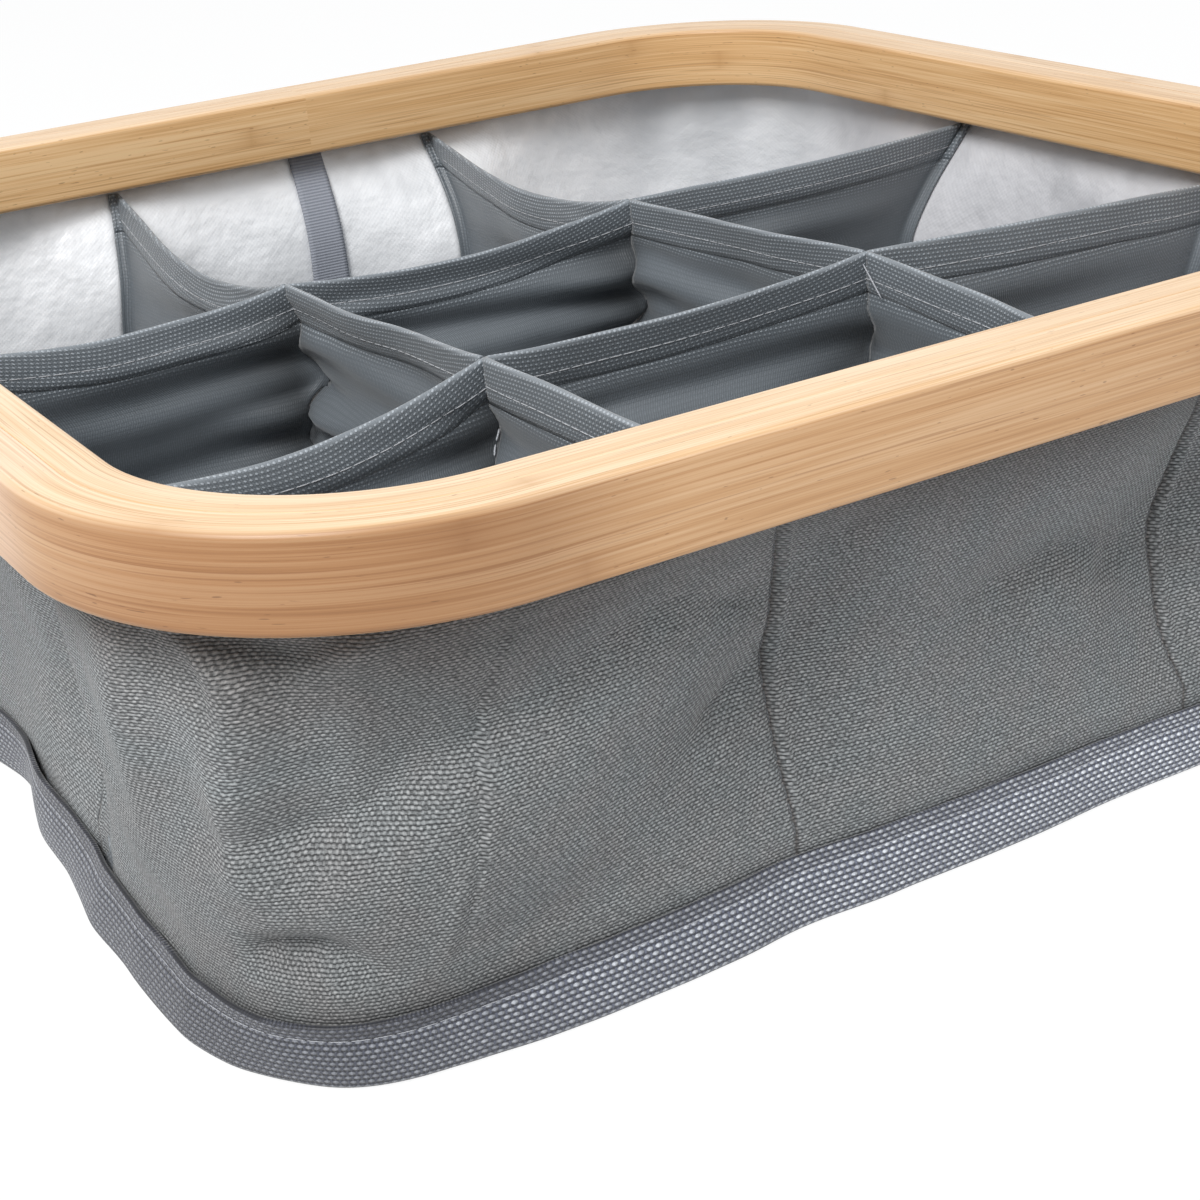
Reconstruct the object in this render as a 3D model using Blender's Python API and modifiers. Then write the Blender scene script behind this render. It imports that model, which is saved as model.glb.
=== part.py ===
"""Drawer organizer: a bent bamboo rim that carries a sewn cloth tray with nine cells.

Metres, +Z up. The origin lies under the middle of the tray, on the surface that it stands on.
+X runs along the front wall and +Y from the front wall to the back wall.
"""

import math

import bmesh
import bpy
from mathutils import Vector

mm = 0.001

# Whole tray
TRAY_SIDE = 320 * mm
TRAY_HEIGHT = 94 * mm
SEAT_GAP = 0.3 * mm

# Rim: two bent plies, glued face to face, with a groove milled up between them
RIM_HEIGHT = 16.5 * mm
RIM_WIDTH = 16 * mm
RIM_CORNER_RADIUS = 59 * mm
RIM_EDGE_ROUND = 1.2 * mm
GROOVE_DEPTH = 7 * mm
CORNER_STEPS = 18
EDGE_STEPS = 3

# Plastic strip that the top hem of the wall is folded over
STRIP_THICKNESS = 1.6 * mm
STRIP_HEIGHT = 4.5 * mm

# Wall cloth
WALL_CLOTH = 0.7 * mm
WALL_BELLY = 2.5 * mm
HEM_RETURN_RISE = 0.6 * mm
CORNER_RIDGE = 2.6 * mm
CORNER_RIDGE_COUNT = 3
PINCH_REACH = 17 * mm
PINCH_PEAK_SHARE = 0.75

# Base: a board between two cloths whose edges turn down with the wall's into the binding
SEAM_INSET = 9 * mm
SEAM_CORNER_RADIUS = 34 * mm
BASE_CLOTH = 0.7 * mm
BOARD_THICKNESS = 1.5 * mm
BOARD_EASE = 9 * mm
BINDING_HEIGHT = 12.4 * mm
BINDING_TAPE = 0.9 * mm
SKIRT_FLARE = 2.2 * mm

# Waves of the base's edge, as shares of the tray's side: their place along each side in turn,
# how far the edge is drawn in there, and their reach
FRONT, RIGHT, BACK, LEFT = range(4)
edge_wave_shares = {
    FRONT: ((-0.288, 0.0069, 0.081), (0.119, 0.0037, 0.094)),
    RIGHT: ((-0.094, 0.005, 0.106), (0.206, -0.0031, 0.075)),
    BACK: ((-0.038, 0.0075, 0.113), (0.244, -0.0031, 0.069)),
    LEFT: ((0.019, 0.0238, 0.088), (0.294, -0.0063, 0.063)),
}

# Dividers: two strips each way, slotted into each other
DIVIDER_CLOTH = 0.7 * mm
DIVIDER_HEM_DEPTH = 8 * mm
DIVIDER_HEM_EXTRA = 0.7 * mm
DIVIDER_PITCH = 94 * mm
DIVIDER_SHIFT = -3 * mm
DIVIDER_END_DROP = 1.5 * mm
DIVIDER_WAVE = 2.4 * mm
TAB_WIDTH = 5 * mm
TAB_GAP = 0.7 * mm

# Height of the dividers' crossings above the rim's underside, by (X line, Y line)
CROSSING_RISE = {
    ("left", "front"): 0 * mm,
    ("right", "front"): 2.3 * mm,
    ("left", "back"): -4.7 * mm,
    ("right", "back"): -2.5 * mm,
}

# Sag of each divider's top edge in its three spans: from the right wall, or from the front wall
DIVIDER_SAG = {
    "divider_x_front": (0.4 * mm, 2.4 * mm, 6.2 * mm),
    "divider_x_back": (0.8 * mm, 4.2 * mm, 4.4 * mm),
    "divider_y_left": (-2 * mm, 1.5 * mm, 8.6 * mm),
    "divider_y_right": (0.3 * mm, 0.4 * mm, 6.8 * mm),
}

# How far the wall is drawn in at its two stitch lines, on each side in turn
PINCH_DEPTH = {
    FRONT: (8 * mm, 11 * mm),
    RIGHT: (6 * mm, 5 * mm),
    BACK: (6 * mm, 7 * mm),
    LEFT: (6 * mm, 12 * mm),
}

# Tape over the joint of the wall strip, inside the back wall
JOINT_TAPE_WIDTH = 10.5 * mm
JOINT_TAPE_THICKNESS = 0.8 * mm
JOINT_TAPE_PLACE = -5.5 * mm
JOINT_TAPE_GAP = 0.5 * mm

# Shares that place the rows and columns of the cloth
wall_row_shares = (0.16, 0.33, 0.5, 0.67, 0.84)
lead_shares = (0, 0.14, 0.32, 0.54, 0.78)
middle_shares = (0, 0.08, 0.2, 0.35, 0.5, 0.65, 0.8, 0.92, 1)
corner_turn_shares = tuple(step / 8 for step in range(9))
divider_row_shares = (0, 0.16, 0.33, 0.5, 0.67, 0.84, 1)
span_shares = tuple(step / 5 for step in range(5))

# Sizes that follow
rim_bottom = TRAY_HEIGHT - RIM_HEIGHT
seam_half = TRAY_SIDE / 2 - SEAM_INSET
rim_middle_half = (TRAY_SIDE - RIM_WIDTH) / 2
rim_middle_radius = RIM_CORNER_RADIUS - RIM_WIDTH / 2
hem_leg = STRIP_THICKNESS / 2 + SEAT_GAP + WALL_CLOTH / 2
groove_half_width = hem_leg + WALL_CLOTH / 2 + SEAT_GAP
hem_top = rim_bottom + GROOVE_DEPTH - SEAT_GAP - WALL_CLOTH / 2
strip_top = hem_top - WALL_CLOTH / 2 - SEAT_GAP
base_outer_level = BINDING_HEIGHT + SEAT_GAP + BASE_CLOTH / 2
board_bottom = base_outer_level + BASE_CLOTH / 2 + SEAT_GAP
base_inner_level = board_bottom + BOARD_THICKNESS + SEAT_GAP + BASE_CLOTH / 2
base_top = base_inner_level + BASE_CLOTH / 2
skirt_bottom = BINDING_TAPE + SEAT_GAP
base_inner_inset = (WALL_CLOTH + BASE_CLOTH) / 2 + SEAT_GAP
base_outer_inset = base_inner_inset + BASE_CLOTH + SEAT_GAP
board_inset = base_inner_inset + BASE_CLOTH / 2 + BOARD_EASE
divider_lines = {
    "left": DIVIDER_SHIFT - DIVIDER_PITCH / 2,
    "right": DIVIDER_SHIFT + DIVIDER_PITCH / 2,
}
divider_lines["front"] = divider_lines["left"]
divider_lines["back"] = divider_lines["right"]
divider_bottom = base_top + SEAT_GAP
slot_level = (divider_bottom + rim_bottom) / 2


def clear_scene():
    for thing in list(bpy.data.objects):
        bpy.data.objects.remove(thing, do_unlink=True)


def new_collection(name):
    collection = bpy.data.collections.new(name)
    bpy.context.scene.collection.children.link(collection)
    return collection


def new_material(name, colour, roughness, metallic=0.0):
    material = bpy.data.materials.new(name)
    material.use_nodes = True
    shader = material.node_tree.nodes["Principled BSDF"]
    shader.inputs["Base Color"].default_value = (*colour, 1)
    shader.inputs["Roughness"].default_value = roughness
    shader.inputs["Metallic"].default_value = metallic
    return material


def side_directions(side):
    """Unit directions along a side, anticlockwise seen from above, and out of it."""
    turn = side * math.pi / 2
    along = Vector((math.cos(turn), math.sin(turn), 0))
    outward = Vector((math.sin(turn), -math.cos(turn), 0))
    return along, outward


def rounded_square(half, radius, steps):
    """Points of a rounded square, anticlockwise."""
    points = []
    for side in range(4):
        along, outward = side_directions(side)
        centre = (along + outward) * (half - radius)
        for step in range(steps + 1):
            turn = step / steps * math.pi / 2
            points.append(centre + (outward * math.cos(turn) + along * math.sin(turn)) * radius)
    return points


def arc(centre_x, centre_y, radius, start, end):
    """Points of an arc in a profile, with the angles in degrees."""
    points = []
    for step in range(EDGE_STEPS + 1):
        angle = math.radians(start + (end - start) * step / EDGE_STEPS)
        points.append((centre_x + radius * math.cos(angle), centre_y + radius * math.sin(angle)))
    return points


def swept_ring(name, corners, profile, material):
    """A closed anticlockwise profile, x outward and y up, carried round points on the floor."""
    outline = bpy.data.curves.new(name + "_profile", "CURVE")
    outline.dimensions = "2D"
    edge = outline.splines.new("POLY")
    edge.points.add(len(profile) - 1)
    for point, (x, y) in zip(edge.points, reversed(profile)):
        point.co = (x, y, 0, 1)
    edge.use_cyclic_u = True
    guide = bpy.data.objects.new(name + "_profile", outline)
    guide.hide_render = True
    guide.display_type = "WIRE"
    guides.objects.link(guide)

    path = bpy.data.curves.new(name, "CURVE")
    path.dimensions = "3D"
    path.twist_mode = "Z_UP"
    path.bevel_mode = "OBJECT"
    path.bevel_object = guide
    line = path.splines.new("POLY")
    line.points.add(len(corners) - 1)
    for point, place in zip(line.points, corners):
        point.co = (*place, 1)
    line.use_cyclic_u = True
    path.materials.append(material)
    ring = bpy.data.objects.new(name, path)
    tray.objects.link(ring)
    return ring


def sheet_through(name, rows, thickness, material, round_and_round=False, cap_first=False):
    """Cloth or board through rows of points, thickened equally to both sides."""
    mesh = bmesh.new()
    grid = [[mesh.verts.new(point) for point in row] for row in rows]
    columns = len(grid[0])
    last = columns if round_and_round else columns - 1
    for upper, lower in zip(grid, grid[1:]):
        for column in range(last):
            after = (column + 1) % columns
            mesh.faces.new((upper[column], lower[column], lower[after], upper[after]))
    if cap_first:
        mesh.faces.new(grid[0])
    bmesh.ops.recalc_face_normals(mesh, faces=mesh.faces)
    sheet = add_mesh(name, mesh, material)
    thicken = sheet.modifiers.new("Thickness", "SOLIDIFY")
    thicken.thickness = thickness
    thicken.offset = 0
    thicken.use_even_offset = True
    return sheet


def solid_through(name, sections, material):
    """A closed solid through sections with equal numbers of points, capped at both ends."""
    mesh = bmesh.new()
    rings = [[mesh.verts.new(point) for point in section] for section in sections]
    count = len(rings[0])
    for ring, following in zip(rings, rings[1:]):
        for place in range(count):
            after = (place + 1) % count
            mesh.faces.new((ring[place], ring[after], following[after], following[place]))
    mesh.faces.new(list(reversed(rings[0])))
    mesh.faces.new(rings[-1])
    bmesh.ops.recalc_face_normals(mesh, faces=mesh.faces)
    bmesh.ops.triangulate(mesh, faces=mesh.faces)
    return add_mesh(name, mesh, material)


def add_mesh(name, mesh, material):
    data = bpy.data.meshes.new(name)
    mesh.to_mesh(data)
    mesh.free()
    data.shade_smooth()
    data.set_sharp_from_angle(angle=math.radians(40))
    data.materials.append(material)
    thing = bpy.data.objects.new(name, data)
    tray.objects.link(thing)
    return thing


def cut_box(thing, centre, size):
    """Cut a box out of a thing."""
    bpy.ops.mesh.primitive_cube_add(size=1, location=centre, scale=size)
    cutter = bpy.context.object
    bpy.ops.object.transform_apply(location=False, rotation=False, scale=True)
    cutter.name = thing.name + "_slot"
    cutter.hide_render = True
    cutter.display_type = "WIRE"
    for collection in list(cutter.users_collection):
        collection.objects.unlink(cutter)
    guides.objects.link(cutter)
    cut = thing.modifiers.new("Slot", "BOOLEAN")
    cut.operation = "DIFFERENCE"
    cut.solver = "EXACT"
    cut.object = cutter


def rim_ply_profile(direction):
    """Section of one ply, from the glue line outward or inward, with its half of the groove."""
    glue = SEAT_GAP / 2
    face = RIM_WIDTH / 2
    inner_round = face - RIM_EDGE_ROUND
    top_round = RIM_HEIGHT - RIM_EDGE_ROUND
    section = [(glue, RIM_HEIGHT), (glue, GROOVE_DEPTH), (groove_half_width, GROOVE_DEPTH)]
    section.append((groove_half_width, 0))
    section += arc(inner_round, RIM_EDGE_ROUND, RIM_EDGE_ROUND, -90, 0)
    section += arc(inner_round, top_round, RIM_EDGE_ROUND, 0, 90)
    placed = [(direction * x, rim_bottom + y) for x, y in section]
    return placed if direction > 0 else placed[::-1]


def rim_middle():
    return rounded_square(rim_middle_half, rim_middle_radius, CORNER_STEPS)


def make_rim(bamboo):
    swept_ring("rim_outer_ply", rim_middle(), rim_ply_profile(1), bamboo)
    swept_ring("rim_inner_ply", rim_middle(), rim_ply_profile(-1), bamboo)


def make_hem_strip(plastic):
    face = STRIP_THICKNESS / 2
    bottom = strip_top - STRIP_HEIGHT
    section = [(-face, bottom), (face, bottom), (face, strip_top), (-face, strip_top)]
    swept_ring("hem_strip", rim_middle(), section, plastic)


def seam_places(side):
    """Places along a side where the dividers are sewn to it."""
    lines = (divider_lines["left"], divider_lines["right"])
    return lines if side in (FRONT, RIGHT) else (-lines[1], -lines[0])


def wall_outline(level):
    """Half width and corner radius of the wall cloth's middle at a level."""
    top_half = rim_middle_half + hem_leg
    top_radius = rim_middle_radius + hem_leg
    share = wall_share(level)
    half = top_half + (seam_half - top_half) * share
    radius = top_radius + (SEAM_CORNER_RADIUS - top_radius) * share
    flare = skirt_flare(level)
    return half + flare, radius + flare


def wall_share(level):
    """0 at the rim's underside and 1 at the top of the base."""
    return min(max((rim_bottom - level) / (rim_bottom - base_top), 0), 1)


def skirt_flare(level):
    """How far the turned-down edges lean out at a level."""
    return SKIRT_FLARE * max(1 - level / BINDING_HEIGHT, 0)


def edge_draw(side, place):
    """How far the base's edge is drawn in at a place along a side."""
    drawn = 0.0
    for middle, depth, reach in edge_wave_shares[side]:
        drawn += TRAY_SIDE * depth * math.exp(-(((place / TRAY_SIDE - middle) / reach) ** 2))
    return drawn


def wall_swell(side, place, turn, level):
    """How far the hanging cloth stands out of its outline: belly, corner ridges, stitch lines."""
    share = wall_share(level)
    swell = WALL_BELLY * math.sin(math.pi * share)
    ridge = (1 - math.cos(2 * math.pi * CORNER_RIDGE_COUNT * turn)) / 2
    swell += CORNER_RIDGE * ridge * math.sin(math.pi * share)
    if turn == 0:
        rise = math.sin(math.pi * share ** PINCH_PEAK_SHARE)
        for seam, depth in zip(seam_places(side), PINCH_DEPTH[side]):
            swell -= depth * rise * math.exp(-(((place - seam) / PINCH_REACH) ** 2))
    return swell


def wall_point(side, place, turn, level, inset=0.0):
    """Middle of the wall cloth on a side, or a share of the turn into the next side."""
    half, radius = wall_outline(level)
    along, outward = side_directions(side)
    facing = outward * math.cos(turn * math.pi / 2) + along * math.sin(turn * math.pi / 2)
    if turn == 0:
        point = along * place + outward * (half - edge_draw(side, place) * wall_share(level))
    else:
        point = (along + outward) * (half - radius) + facing * radius
    point += facing * (wall_swell(side, place, turn, level) - inset)
    point.z = level
    return point


def wall_columns(side, middle):
    """Columns of a panel as functions of the straight length: (side, place, turn)."""
    first, second = seam_places(side)
    edge = SEAT_GAP / 2
    if middle:
        width = second - first - 2 * edge
        return [lambda straight, s=share: (side, first + edge + width * s, 0) for share in middle_shares]
    following = (side + 1) % 4
    start = second + edge
    finish = seam_places(following)[0] - edge
    columns = [lambda straight, s=share: (side, start + (straight - start) * s, 0) for share in lead_shares]
    columns += [lambda straight, s=share: (side, straight, s) for share in corner_turn_shares]
    columns += [
        lambda straight, s=share: (following, finish - (straight + finish) * s, 0)
        for share in reversed(lead_shares)
    ]
    return columns


def wall_levels():
    """Levels of the hanging cloth's rows, from the rim's underside to the skirt's edge."""
    hanging = [rim_bottom + (base_top - rim_bottom) * share for share in wall_row_shares]
    return [rim_bottom, *hanging, base_top, BINDING_HEIGHT, skirt_bottom]


def wall_row(columns, level, inset=0.0, height=None):
    half, radius = wall_outline(level)
    row = []
    for column in columns:
        side, place, turn = column(half - radius)
        point = wall_point(side, place, turn, level, inset)
        if height is not None:
            point.z = height
        row.append(point)
    return row


def base_edge(level, inset=0.0):
    """Points of the turned-down edge at a level, under the columns of the wall's panels."""
    points = []
    for side in range(4):
        for middle in (True, False):
            points += wall_row(wall_columns(side, middle), level, inset)[:-1]
    return points


def make_wall(linen):
    """Eight panels of the one wall strip, parted at the stitch lines of the dividers."""
    names = ("front", "right", "back", "left")
    for side, name in enumerate(names):
        following = names[(side + 1) % 4]
        for middle, panel in ((True, f"wall_{name}"), (False, f"wall_corner_{name}_{following}")):
            columns = wall_columns(side, middle)
            return_leg = 2 * hem_leg
            rows = [
                wall_row(columns, rim_bottom, return_leg, rim_bottom + HEM_RETURN_RISE),
                wall_row(columns, rim_bottom, return_leg, hem_top),
                wall_row(columns, rim_bottom, 0.0, hem_top),
            ]
            rows += [wall_row(columns, level) for level in wall_levels()]
            sheet_through(panel, rows, WALL_CLOTH, linen)


def make_joint_tape(webbing):
    """Tape sewn over the ends of the wall strip, down the inside of the back wall."""
    inset = (WALL_CLOTH + JOINT_TAPE_THICKNESS) / 2 + JOINT_TAPE_GAP
    places = [JOINT_TAPE_PLACE + JOINT_TAPE_WIDTH * share for share in (-0.5, 0, 0.5)]
    top = rim_bottom - SEAT_GAP
    bottom = base_top + SEAT_GAP
    levels = [top + (bottom - top) * share for share in (0, *wall_row_shares, 1)]
    rows = [[wall_point(BACK, place, 0, level, inset) for place in places] for level in levels]
    sheet_through("wall_joint_tape", rows, JOINT_TAPE_THICKNESS, webbing)


def turned_down_cloth(name, level, inset, cloth, material):
    """A flat cloth whose edge turns down into the binding."""
    rows = [base_edge(height, inset) for height in (level, BINDING_HEIGHT, skirt_bottom)]
    sheet_through(name, rows, cloth, material, round_and_round=True, cap_first=True)


def make_base(linen, card, lining):
    turned_down_cloth("base_inner_cloth", base_inner_level, base_inner_inset, BASE_CLOTH, lining)
    turned_down_cloth("base_outer_cloth", base_outer_level, base_outer_inset, BASE_CLOTH, linen)
    outline = bpy.data.curves.new("base_board", "CURVE")
    outline.dimensions = "2D"
    outline.fill_mode = "BOTH"
    outline.extrude = BOARD_THICKNESS / 2
    edge = outline.splines.new("POLY")
    corners = rounded_square(seam_half - board_inset, SEAM_CORNER_RADIUS - board_inset, CORNER_STEPS // 2)
    edge.points.add(len(corners) - 1)
    for point, place in zip(edge.points, corners):
        point.co = (*place, 1)
    edge.use_cyclic_u = True
    outline.materials.append(card)
    board = bpy.data.objects.new("base_board", outline)
    board.location.z = board_bottom + BOARD_THICKNESS / 2
    tray.objects.link(board)


def make_binding(webbing):
    """Tape folded up over the turned-down edges: it stands on its fold."""
    outer_face = WALL_CLOTH / 2 + SEAT_GAP
    inner_face = -(base_outer_inset + BASE_CLOTH / 2 + SEAT_GAP)
    top = BINDING_HEIGHT
    lean = SKIRT_FLARE
    fold = BINDING_TAPE
    section = [
        (inner_face - fold, top),
        (inner_face - fold + lean, 0),
        (outer_face + fold + lean, 0),
        (outer_face + fold, top),
        (outer_face, top),
        (outer_face + skirt_flare(fold), fold),
        (inner_face + skirt_flare(fold), fold),
        (inner_face, top),
    ]
    path = base_edge(BINDING_HEIGHT)
    for point in path:
        point.z = 0
    swept_ring("base_binding", path, section, webbing)


def divider_top(name, crossings, share_of_span, span):
    """Level of a divider's top edge at a share of one of its spans."""
    end = rim_bottom - DIVIDER_END_DROP
    supports = (end, rim_bottom + crossings[0], rim_bottom + crossings[1], end)
    chord = supports[span] + (supports[span + 1] - supports[span]) * share_of_span
    return chord - DIVIDER_SAG[name][span] * 4 * share_of_span * (1 - share_of_span)


def divider_section(place_at, thickness_way, top):
    """One section of a divider: up its hemmed face, over the fold and down its back."""
    half = DIVIDER_CLOTH / 2
    hem_low = top - DIVIDER_HEM_DEPTH
    shoulder = top - half - DIVIDER_HEM_EXTRA / 2
    levels = [divider_bottom + (hem_low - divider_bottom) * share for share in divider_row_shares]
    face = [(level, half) for level in levels]
    face += [(hem_low + DIVIDER_HEM_EXTRA, half + DIVIDER_HEM_EXTRA), (shoulder, half + DIVIDER_HEM_EXTRA)]
    fold = [(top, DIVIDER_HEM_EXTRA / 2), (shoulder, -half)]
    back = [(level, -half) for level in reversed(levels)]
    return [place_at(level) + thickness_way * offset for level, offset in (*face, *fold, *back)]


def divider_sections(name, side, line, crossings, marks):
    """Sections of a divider, from its tab on one wall to its tab on the wall facing it.

    The strip runs inward from the side, its line and its marks are measured across and along
    that run, and its hem and both tabs are on its left.
    """
    along = -side_directions(side)[1]
    across = Vector((-along.y, along.x, 0))
    far_side = (side + 2) % 4
    inset = (WALL_CLOTH + DIVIDER_CLOTH) / 2 + TAB_GAP

    def wall_place(wall):
        return line * side_directions(wall)[0].dot(across)

    def tab_section(wall, reach):
        sideways = side_directions(wall)[0].dot(across)
        outward = side_directions(wall)[1]
        top = rim_bottom - DIVIDER_END_DROP

        def at(level):
            return wall_point(wall, wall_place(wall) + sideways * reach, 0, level, inset)

        return divider_section(at, -outward if reach else across - outward, top)

    def span_section(span, share):
        def at(level):
            start = marks[span - 1] if span else near_end(level)
            finish = marks[span] if span < 2 else far_end(level)
            height = (level - divider_bottom) / (rim_bottom - divider_bottom)
            sign = 1 if span % 2 else -1
            wave = DIVIDER_WAVE * sign * math.sin(math.pi * share) * math.sin(2 * math.pi * height)
            point = along * (start + (finish - start) * share) + across * (line + wave)
            point.z = level
            return point

        return divider_section(at, across, divider_top(name, crossings, share, span))

    def near_end(level):
        return wall_point(side, wall_place(side), 0, level, inset).dot(along)

    def far_end(level):
        return wall_point(far_side, wall_place(far_side), 0, level, inset).dot(along)

    sections = [tab_section(side, reach) for reach in (TAB_WIDTH, TAB_WIDTH / 2, 0)]
    for span in range(3):
        sections += [span_section(span, share) for share in span_shares if span or share]
    sections += [tab_section(far_side, reach) for reach in (0, TAB_WIDTH / 2, TAB_WIDTH)]
    return sections


def make_dividers(lining):
    """Two strips each way: those along X are slotted from below, those along Y from above."""
    left, right = divider_lines["left"], divider_lines["right"]
    front, back = divider_lines["front"], divider_lines["back"]
    for row, line in (("front", front), ("back", back)):
        name = f"divider_x_{row}"
        crossings = (CROSSING_RISE["right", row], CROSSING_RISE["left", row])
        sections = divider_sections(name, RIGHT, -line, crossings, (-right, -left))
        strip = solid_through(name, sections, lining)
        width = DIVIDER_CLOTH + 2 * SEAT_GAP
        top = slot_level + SEAT_GAP / 2
        for mark in (left, right):
            cut_box(strip, (mark, line, top / 2), (width, DIVIDER_PITCH / 2, top))
    for column, line in (("left", left), ("right", right)):
        name = f"divider_y_{column}"
        crossings = (CROSSING_RISE[column, "front"], CROSSING_RISE[column, "back"])
        sections = divider_sections(name, FRONT, -line, crossings, (front, back))
        strip = solid_through(name, sections, lining)
        width = DIVIDER_CLOTH + 2 * DIVIDER_HEM_EXTRA + 2 * SEAT_GAP
        height = TRAY_HEIGHT - slot_level + SEAT_GAP / 2
        for mark in (front, back):
            cut_box(strip, (line, mark, TRAY_HEIGHT - height / 2), (DIVIDER_PITCH / 2, width, height))


clear_scene()
tray = new_collection("Drawer organizer")
guides = new_collection("Guides")
bamboo_finish = new_material("Bamboo", (0.66, 0.42, 0.2), 0.45)
linen_finish = new_material("Grey linen", (0.12, 0.125, 0.13), 0.85)
lining_finish = new_material("Slate cloth", (0.07, 0.085, 0.1), 0.6)
webbing_finish = new_material("Blue-grey webbing", (0.1, 0.115, 0.15), 0.8)
plastic_finish = new_material("White plastic", (0.8, 0.8, 0.78), 0.5)
card_finish = new_material("Grey card", (0.3, 0.28, 0.25), 0.9)
make_rim(bamboo_finish)
make_hem_strip(plastic_finish)
make_wall(linen_finish)
make_joint_tape(webbing_finish)
make_base(linen_finish, card_finish, lining_finish)
make_binding(webbing_finish)
make_dividers(lining_finish)
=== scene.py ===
"""Looks of the drawer organizer: a bent bamboo rim that carries a sewn cloth tray with nine cells.

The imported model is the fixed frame. The bamboo, the cloth, its stitches and its binding are
built here as finer pieces that stand where the frame's nodes stand.
Metres, +Z up; +X runs along the front wall and +Y from the front wall to the back wall.
"""

from __future__ import annotations

import logging
import math
from dataclasses import dataclass, field
from enum import Enum
from typing import Any, Sequence, Union

import bpy
import numpy as np
from mathutils import Matrix, Vector

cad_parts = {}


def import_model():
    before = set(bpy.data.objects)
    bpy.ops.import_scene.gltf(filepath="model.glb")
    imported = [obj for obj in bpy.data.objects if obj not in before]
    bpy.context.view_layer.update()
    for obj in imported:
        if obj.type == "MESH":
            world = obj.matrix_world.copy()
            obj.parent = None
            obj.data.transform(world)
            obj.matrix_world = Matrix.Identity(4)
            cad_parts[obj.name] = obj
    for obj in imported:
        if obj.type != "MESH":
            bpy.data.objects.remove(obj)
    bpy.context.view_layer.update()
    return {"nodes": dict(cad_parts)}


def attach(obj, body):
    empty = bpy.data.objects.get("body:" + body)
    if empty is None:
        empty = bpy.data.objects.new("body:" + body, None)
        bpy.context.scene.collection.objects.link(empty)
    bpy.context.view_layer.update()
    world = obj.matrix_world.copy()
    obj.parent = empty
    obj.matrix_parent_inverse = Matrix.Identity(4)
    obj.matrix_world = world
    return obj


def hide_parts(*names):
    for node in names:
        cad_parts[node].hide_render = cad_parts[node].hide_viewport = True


LOG = logging.getLogger("drawer_organizer")
MM = 0.001
BODY = "root"
PLY_SHIFT = 20 * MM
SURFACE_PLACE = "surface_place"
# Name of the mesh attribute that carries painted shade, multiplied into the cloths' colour.
SURFACE_PAINTED_SHADE = "surface_soil"

Colour = tuple[float, float, float]
Number = Union["Value", float]
Key = Union[int, str]


# Node trees


class Value:
    """A socket of a node tree, whose arithmetic adds Math nodes."""

    def __init__(self, graph: "Graph", socket: bpy.types.NodeSocket) -> None:
        """Wrap a socket.

        Args:
            graph: The graph that the socket is in.
            socket: The output socket.
        """
        self.graph = graph
        self.socket = socket

    def math(self, operation: str, *others: Number, turned: bool = False) -> "Value":
        """Add a Math node on this value.

        Args:
            operation: The Math node's operation.
            others: The other operands.
            turned: Whether this value comes last.

        Returns:
            The node's result.
        """
        operands = [*others, self] if turned else [self, *others]
        return self.graph.add("ShaderNodeMath", {"operation": operation}, dict(enumerate(operands)))

    def __add__(self, other: Number) -> "Value":
        """Sum."""
        return self.math("ADD", other)

    __radd__ = __add__

    def __sub__(self, other: Number) -> "Value":
        """Difference."""
        return self.math("SUBTRACT", other)

    def __rsub__(self, other: Number) -> "Value":
        """Difference from a number."""
        return self.math("SUBTRACT", other, turned=True)

    def __mul__(self, other: Number) -> "Value":
        """Product."""
        return self.math("MULTIPLY", other)

    __rmul__ = __mul__

    def __truediv__(self, other: Number) -> "Value":
        """Quotient."""
        return self.math("DIVIDE", other)

    def __rtruediv__(self, other: Number) -> "Value":
        """Quotient of a number."""
        return self.math("DIVIDE", other, turned=True)

    def __pow__(self, other: Number) -> "Value":
        """Power."""
        return self.math("POWER", other)

    def __rpow__(self, other: Number) -> "Value":
        """Power of a number."""
        return self.math("POWER", other, turned=True)

    def __mod__(self, other: Number) -> "Value":
        """Remainder, never below 0 for a divisor above 0."""
        return self.math("FLOORED_MODULO", other)

    def __rmod__(self, other: Number) -> "Value":
        """Remainder of a number."""
        return self.math("FLOORED_MODULO", other, turned=True)

    def __gt__(self, other: Number) -> "Value":
        """1 where this is greater, else 0."""
        return self.math("GREATER_THAN", other)

    def __lt__(self, other: Number) -> "Value":
        """1 where this is less, else 0, which is also the reflected form of greater."""
        return self.math("LESS_THAN", other)

    def floor(self) -> "Value":
        """Whole number below."""
        return self.math("FLOOR")

    def cos(self) -> "Value":
        """Cosine."""
        return self.math("COSINE")

    def sin(self) -> "Value":
        """Sine."""
        return self.math("SINE")

    def size(self) -> "Value":
        """Absolute value."""
        return self.math("ABSOLUTE")

    def exp(self) -> "Value":
        """The natural exponential."""
        return self.math("EXPONENT")

    def between(self, low: float, high: float) -> "Value":
        """Smooth step from 0 at low to 1 at high.

        Args:
            low: Where the step starts.
            high: Where it ends.

        Returns:
            The step.
        """
        settings = {"interpolation_type": "SMOOTHSTEP"}
        return self.graph.add("ShaderNodeMapRange", settings, {0: self, 1: low, 2: high})


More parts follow.
